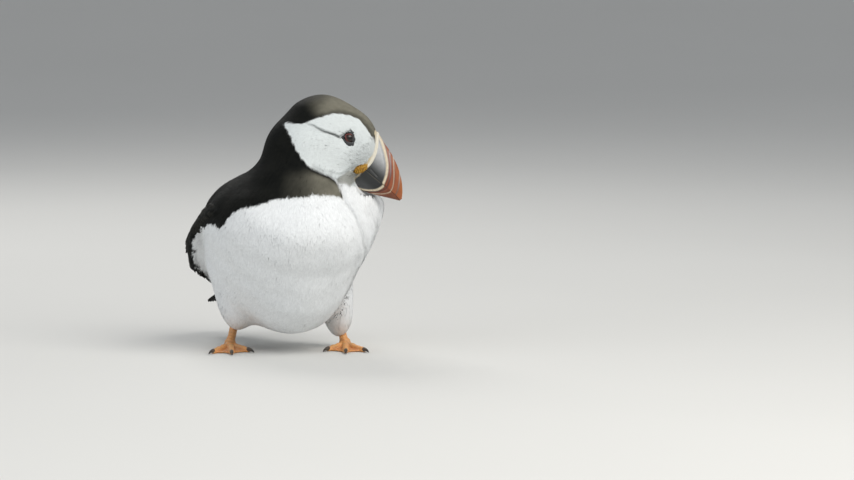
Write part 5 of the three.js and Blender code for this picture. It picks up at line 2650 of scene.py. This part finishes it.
@dataclass
class Foot:
    """One webbed foot with its tarsus: scales on the toes' tops, folds in the webs, and three claws.

    Attributes:
        side: 1 for the left, -1 for the right.
        toes: Where the toes meet, and ankle where the tarsus goes into the feathers.
        heading: Which way the middle toe points, in degrees.
        radius: The toes' radius at their root and tip.
        knuckle: The radius where the toes meet.
        press: How flat their undersides are pressed.
        tarsus: Half its thickness across and fore-and-aft.
        voxel: The size of the skin's quads.
    """

    side: int
    toes: tuple[float, float, float]
    ankle: tuple[float, float, float]
    heading: float
    radius: tuple[float, float] = (2.45, 1.6)
    knuckle: float = 3.5
    press: float = 0.5
    tarsus: tuple[float, float] = (2.35, 3.1)
    voxel: float = 0.5

    @property
    def name(self) -> str:
        """left or right."""
        return "left" if self.side > 0 else "right"

    def toe_way(self, toe: Toe) -> Array:
        """The way that a toe points, level with the floor."""
        return about(2, self.heading - self.side * toe.spread) @ np.array([0.0, -1.0, 0.0])

    def toe_end(self, toe: Toe, share: float = 1.0) -> Array:
        """A spot of a toe's middle line.

        Args:
            toe: The toe.
            share: How far along it.

        Returns:
            The spot.
        """
        radius = between(self.radius, share)
        spot = np.array(self.toes) + self.toe_way(toe) * toe.length * share
        return np.array([spot[0], spot[1], radius - self.press])

    def toe_tube(self, toe: Toe) -> Shell:
        """A toe with its joints' bulges: its radius falls evenly and rises by a tenth at each joint.

        Args:
            toe: The toe.

        Returns:
            The toe's tube.
        """
        share = np.linspace(0.0, 1.0, 44)
        bulge = sum(np.exp(-(((share - j) / 0.06) ** 2)) for j in toe.joints)
        radius = between(self.radius, share) * (0.93 + 0.12 * bulge)
        radius = radius * np.sqrt(np.clip((1.03 - share) / 0.07, 0, 1))
        path = np.stack([self.toe_end(toe, s) for s in share])
        return Shell.tube(tube_along(path, np.stack([radius, radius], 1)))

    def web(self, one: Toe, two: Toe) -> Shell:
        """The web between two toes: a thin sheet, its front edge drawn in and its middle sagging.

        Args:
            one: The toe on one side.
            two: The toe on the other.

        Returns:
            The web.
        """
        ends = np.array([self.toe_end(one)[:2], self.toe_end(two)[:2]])
        start = np.array(self.toes[:2])
        across = np.linspace(0, 1, 26)
        out = np.linspace(0.04, 1, 30)
        front = []
        for share in across:
            a, b = (ends - start) * 0.93
            edge = a * (1 - share) ** 2 + 0.41 * (a + b) * 2 * share * (1 - share) + b * share**2
            front.append(start + edge)
        front = np.stack(front)
        flat = start + (front - start)[None] * out[:, None, None]
        fold = 0.28 * np.cos(across * 5 * math.pi)[None] * step(0.25, 0.7, out)[:, None]
        sag = 0.35 * np.sin(across * math.pi)[None] * step(0.1, 0.5, out)[:, None]
        slope = (1 - out)[:, None] * 0.9
        middle = 0.95 + slope + fold - sag
        thick = 0.42 + 0.1 * step(0.9, 1.0, out)[:, None] + 0 * middle
        top = np.concatenate([flat, (middle + thick)[..., None]], 2)
        bottom = np.concatenate([flat, np.maximum(middle - thick, 0.05)[..., None]], 2)
        rings = np.concatenate([top, bottom[:, ::-1]], 1)
        return Shell.tube(rings)

    def shin(self) -> Shell:
        """The tarsus: an oval tube from the toes' root to the ankle.

        Returns:
            The tube.
        """
        share = np.linspace(-0.02, 1.12, 40)
        start = np.array([self.toes[0], self.toes[1], self.knuckle - 0.4])
        path = start + (np.array(self.ankle) - start) * share[:, None]
        swell = 1 + 0.35 * np.clip(share, 0, 1) ** 2 + 0.25 * np.exp(-((share / 0.12) ** 2))
        radii = np.array(self.tarsus)[None] * swell[:, None]
        return Shell.tube(upright_tube(path, radii, self.toe_way(TOES[1])))

    def hull(self) -> Shell:
        """All of the foot melted into one skin, its soles flat on the floor.

        Returns:
            The skin, before its scales.
        """
        knuckle = np.array([self.toes[0], self.toes[1], self.knuckle - 0.45])
        pieces = [self.toe_tube(toe) for toe in TOES]
        pieces += [self.web(TOES[0], TOES[1]), self.web(TOES[1], TOES[2])]
        pieces += [self.shin(), sphere(knuckle, np.array([1.05, 1.05, 0.95]) * self.knuckle, np.eye(3))]
        skin = smoothed(remeshed(Shell.joined(pieces), self.voxel), 2, 0.5)
        skin.points[:, 2] = np.maximum(skin.points[:, 2], 0.0)
        return skin

    def scales(self, skin: Shell) -> Shell:
        """Puts the scales on: broad plates on the tops of toes and shin, small grains on the webs.

        Along a toe or the shin, plates are the steps of |sin(pi s / pitch)|^0.5, deep between them.

        Args:
            skin: The bare foot.

        Returns:
            The foot with relief, and its colours' shares.
        """
        points = skin.points
        out = shell_normals(skin)
        start = np.array(self.toes, float)
        height = np.zeros(len(points))
        plate_share = np.zeros(len(points))
        groove = np.zeros(len(points))
        near = np.full(len(points), np.inf)
        for toe in TOES:
            way = self.toe_way(toe)
            away = points - start
            along = away @ way
            aside = away @ np.cross(way, np.array([0, 0, 1.0]))
            radius = between(self.radius, np.clip(along / toe.length, 0, 1))
            on = step(1.15, 0.8, np.abs(aside) / radius) * step(0.5, 2.5, along)
            on = on * step(0.5, 1.1, points[:, 2] / radius) * step(toe.length + 1, toe.length - 1, along)
            wave = np.abs(np.sin(math.pi * (along + 0.25 * aside) / 1.75)) ** 0.6
            height += on * (0.22 * wave - 0.1)
            groove = np.maximum(groove, on * (1 - wave) ** 2)
            plate_share = np.maximum(plate_share, on)
            near = np.minimum(near, np.abs(aside) / radius + 3 * step(0.0, -2.0, along))
        axis = unit(np.array(self.ankle) - np.array([start[0], start[1], self.knuckle - 0.4]))
        away = points - np.array([start[0], start[1], self.knuckle - 0.4])
        along = away @ axis
        radial = away - along[:, None] * axis
        front = radial @ self.toe_way(TOES[1])
        shin = step(3.5, 5.5, points[:, 2]) * step(6.5, 5.0, np.linalg.norm(radial, axis=1))
        wave = np.abs(np.sin(math.pi * along / 2.1)) ** 0.6
        grain = np.clip(cells(points, 1.25, 71), 0, 1)
        on_front = step(0.0, 1.2, front)
        height += shin * on_front * (0.24 * wave - 0.1) + shin * (1 - on_front) * (0.16 * grain - 0.06)
        groove = np.maximum(groove, shin * on_front * (1 - wave) ** 2)
        web = (1 - plate_share) * (1 - shin) * step(0.35, 0.6, points[:, 2]) * step(0.0, 0.35, out[:, 2])
        height += web * (0.1 * grain - 0.05)
        height += 0.12 * ripple(points, 7.0, 72) * (1 - web) * step(0.6, 1.4, points[:, 2])
        low = step(1.2, 0.3, points[:, 2])
        skin.points = points + out * (height * (1 - low))[:, None]
        skin.points[:, 2] = np.maximum(skin.points[:, 2], 0.0)
        dirt = np.clip(0.5 + 0.8 * ripple(points, 10.0, 73), 0, 1)
        skin.values = {
            "second": np.clip(web + 0.25 * (1 - grain) * (1 - plate_share), 0, 1),
            "third": np.clip(groove + (1 - grain) ** 3 * web * 0.7, 0, 1) * 0.8,
            "fourth": step(0.55, 0.9, dirt) * 0.25 + 0.6 * step(0.6, 0.1, points[:, 2]) * dirt,
        }
        return skin

    def claw(self, toe: Toe) -> Shell:
        """A claw: a curved horn that narrows as sqrt(1 - s) and bends down to the floor.

        Args:
            toe: The toe that carries it.

        Returns:
            The claw.
        """
        way = self.toe_way(toe)
        share = np.linspace(0, 1, 24)
        start = self.toe_end(toe, 1.0) - way * 1.2
        start[2] = 1.55
        reach = toe.claw + 1.2
        drop = 0.9 * np.sin(share * 1.9) - 1.85 * share**1.7
        path = start + way * (share * reach)[:, None] + np.array([0, 0, 1.0]) * drop[:, None]
        wide = 1.22 * (1 - share) ** 0.62 + 0.05
        tall = 1.35 * (1 - share) ** 0.7 + 0.06
        path[:, 2] = np.maximum(path[:, 2], tall + 0.02)
        around = 18
        rings = tube_along(path, np.stack([wide, tall], 1), around)
        top = (full_turn(around) - math.pi / 2) / 0.5
        rings[..., 2] += 0.16 * np.exp(-(top**2)) * (1 - share)[:, None]
        tip = np.broadcast_to(step(0.3, 0.95, share)[:, None], rings.shape[:2])
        return Shell.tube(rings, {"second": tip * 1.0})

    def build(self, skin: bpy.types.Material, horn: bpy.types.Material) -> None:
        """Dresses the foot and its claws.

        Args:
            skin: The finish of its skin.
            horn: The finish of its claws.
        """
        foot = dress(f"foot_skin_{self.name}", self.scales(self.hull()), skin)
        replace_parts(foot, f"foot_{self.name}")
        for toe in TOES:
            claw = dress(f"claw_horn_{toe.name}_{self.name}", self.claw(toe), horn)
            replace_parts(claw, f"claw_{toe.name}_{self.name}")


def shell_normals(shell: Shell) -> Array:
    """The way out at each point of a shell of quads: its faces' own, added up.

    Args:
        shell: The shell.

    Returns:
        A way for each point.
    """
    quads = shell.faces[0]
    a, b, c, d = (shell.points[quads[:, k]] for k in range(4))
    flat = np.cross(c - a, d - b)
    total = np.zeros_like(shell.points)
    for k in range(3):
        total[:, k] = np.bincount(quads.ravel(), np.repeat(flat[:, k], 4), len(shell.points))
    return unit(total)


# Odd factors that make the sine of a lattice corner look random, and the gain of that sine.
SCATTER = np.array([[12.9898, 78.233, 37.719], [39.346, 11.135, 83.155], [73.156, 52.235, 9.151]])
SCATTER_GAIN = 43758.5453


def cells(points: Array, size: float, seed: int) -> Array:
    """Grainy cells: how far a point is from the nearest of seeded spots, one in each cube of a lattice.

    Args:
        points: Places, in millimetres.
        size: The lattice's pitch.
        seed: Which lattice.

    Returns:
        1 at a grain's middle, falling to 0 where two grains meet.
    """
    scaled = points / size
    base = np.floor(scaled)
    first = np.full(len(points), np.inf)
    second = np.full(len(points), np.inf)
    shifts = np.stack(np.meshgrid(*[[-1, 0, 1]] * 3, indexing="ij"), -1).reshape(-1, 3)
    for shift in shifts:
        corner = base + shift
        turns = np.sin(corner @ SCATTER + seed)
        spot = corner + 0.5 + 0.42 * np.sin(turns * SCATTER_GAIN)
        gap = np.linalg.norm(scaled - spot, axis=1)
        second = np.where(gap < first, first, np.minimum(second, gap))
        first = np.minimum(first, gap)
    return step(0.02, 0.45, second - first)


def build_feet() -> None:
    """Dresses both feet."""
    skin = Horn(
        "foot_skin",
        (0.72, 0.36, 0.13),
        second=(0.70, 0.30, 0.10), third=(0.34, 0.12, 0.045), fourth=(0.42, 0.27, 0.15), roughness=0.5,
        scale=420, amount=0.35, bump=0.00012, glow=0.12,
    ).material()
    horn = Horn(
        "claw", (0.075, 0.058, 0.045), second=(0.012, 0.011, 0.010), scale=500, roughness=0.4
    ).material()
    Foot(1, (37, -1, 0), (35, 8, 24), -22).build(skin, horn)
    Foot(-1, (-30, 24, 0), (-21, 32, 25), -24).build(skin, horn)


# ----------------------------------------
# The studio
# ----------------------------------------


@dataclass
class Studio:
    """The camera, the floor and the lights.

    Attributes:
        azimuth: Where the camera stands, in degrees from straight in front, and elevation how high.
        lens: Its focal length, in millimetres, and film the width of its film.
        view_width: How wide the view is at the bird, in millimetres.
        aim: The view's middle, to the right and up from the bird's origin, in millimetres.
        lamp_distance: How far the lamps stand from the bird, in metres, and lamp_aim how high the place
            is that they light.
    """

    azimuth: float = -26.0
    elevation: float = 5.0
    lens: float = 200.0
    film: float = 36.0
    view_width: float = 529.5
    aim: tuple[float, float] = (84.9, 68.2)
    lamp_distance: float = 1.5
    lamp_aim: float = 0.08

    def axes(self) -> tuple[Array, Array, Array]:
        """The camera's right, up and forward, in the bird's axes.

        Returns:
            The three ways, of length one.
        """
        a, e = math.radians(self.azimuth), math.radians(self.elevation)
        right = np.array([math.cos(a), math.sin(a), 0.0])
        level = np.array([-math.sin(a), math.cos(a), 0.0])
        up = level * math.sin(e) + np.array([0, 0, math.cos(e)])
        forward = level * math.cos(e) - np.array([0, 0, math.sin(e)])
        return right, up, forward

    def camera(self) -> None:
        """Sets the camera so that the view is view_width wide at the bird's origin."""
        right, up, forward = self.axes()
        distance = self.view_width * self.lens / self.film
        place = placed(right * self.aim[0] + up * self.aim[1] - forward * distance)
        data = bpy.data.cameras.new("camera")
        data.lens, data.sensor_width = self.lens, self.film
        data.clip_start, data.clip_end = 0.05, 50.0
        camera = bpy.data.objects.new("camera", data)
        turn = np.eye(4)
        turn[:3, 0], turn[:3, 1], turn[:3, 2], turn[:3, 3] = right, up, -forward, place
        camera.matrix_world = turn.T.tolist()
        bpy.context.scene.collection.objects.link(camera)
        bpy.context.scene.camera = camera

    def floor(self) -> None:
        """A pale floor that curves up into a backdrop far behind, as one sheet."""
        rows = np.linspace(0, 1, 60)
        depth = ramp(rows, (0, -3.0), (0.45, 2.0), (0.6, 3.6), (0.75, 4.3), (1, 4.5))
        height = ramp(rows, (0, 0), (0.45, 0), (0.6, 0.12), (0.75, 1.0), (1, 4.0))
        smooth = evened(height)
        columns = np.linspace(-4, 4, 3)
        _, _, forward = self.axes()
        level = unit(forward * np.array([1, 1, 0]))
        side = np.array([level[1], -level[0], 0])
        spots = (
            depth[:, None, None] * level
            + columns[None, :, None] * side
            + smooth[:, None, None] * np.array([0, 0, 1])
        )
        sheet = Shell((spots.reshape(-1, 3) - ORIGIN) / MM, [grid_faces(60, 3)[:, ::-1]])
        mesh = sheet.mesh("floor")
        floor = bpy.data.objects.new("floor", mesh)
        bpy.context.scene.collection.objects.link(floor)
        material, nodes, shader = new_material("floor")
        tone = nodes.mix(nodes.noise(2.0, 2.0), (0.62, 0.62, 0.60), (0.66, 0.66, 0.64))
        material.node_tree.links.new(tone, shader.inputs["Base Color"])
        shader.inputs["Roughness"].default_value = 0.9
        mesh.materials.append(material)

    def lamp(
        self, name: str, way: tuple[float, float, float], size: float, power: float, tint: Colour
    ) -> None:
        """A square lamp at the lamps' distance from the bird, turned to it.

        Args:
            name: Its name.
            way: Where it stands, in the camera's right, up and towards the camera.
            size: The length of its side, in metres.
            power: Its power, in watts.
            tint: Its colour.
        """
        right, _, forward = self.axes()
        level = unit(forward * np.array([1, 1, 0]))
        out = unit(way[0] * right + way[1] * np.array([0, 0, 1]) - way[2] * level)
        data = bpy.data.lights.new(name, "AREA")
        data.size, data.energy, data.color = size, power, tint
        side = unit(np.cross(np.array([0, 0, 1]), out))
        turn = np.eye(4)
        turn[:3, 0], turn[:3, 1], turn[:3, 2] = side, np.cross(out, side), out
        turn[:3, 3] = np.array([0, 0, self.lamp_aim]) + out * self.lamp_distance
        lamp = bpy.data.objects.new(name, data)
        lamp.matrix_world = turn.T.tolist()
        bpy.context.scene.collection.objects.link(lamp)

    def build(self) -> None:
        """Sets everything up, with an even pale surround."""
        bpy.context.scene.view_settings.view_transform = "Standard"
        self.camera()
        self.floor()
        self.lamp("key", (0.65, 0.85, 0.75), 1.2, 19.0, (1.0, 0.97, 0.92))
        self.lamp("fill", (-0.9, 0.35, 0.7), 1.4, 5.0, (0.93, 0.97, 1.0))
        self.lamp("rim", (-0.3, 0.9, -0.9), 0.8, 8.0, (1.0, 0.98, 0.95))
        world = bpy.data.worlds.new("surround")
        world.use_nodes = True
        world.node_tree.nodes["Background"].inputs["Color"].default_value = (0.92, 0.95, 1.0, 1)
        world.node_tree.nodes["Background"].inputs["Strength"].default_value = 0.45
        bpy.context.scene.world = world


# ----------------------------------------
# All of it
# ----------------------------------------


def main() -> None:
    """Builds the bird piece by piece, then the studio around it."""
    logging.basicConfig(level=logging.INFO, format="%(message)s")
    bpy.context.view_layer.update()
    form, pattern = Form(), Pattern()
    plumage = Plumage().material()
    skin = Skin(form, pattern).build(plumage)
    Coat(form, pattern, skin).build(plumage)
    large = Plumage(name="large_feathers", barbs=14.0).material()
    for side in (1, -1):
        Wing(form, side).build(large)
    Tail().build(form, large)
    Bill().build()
    Eye(form).build()
    build_feet()
    Studio().build()


if __name__ == "__main__":
    main()
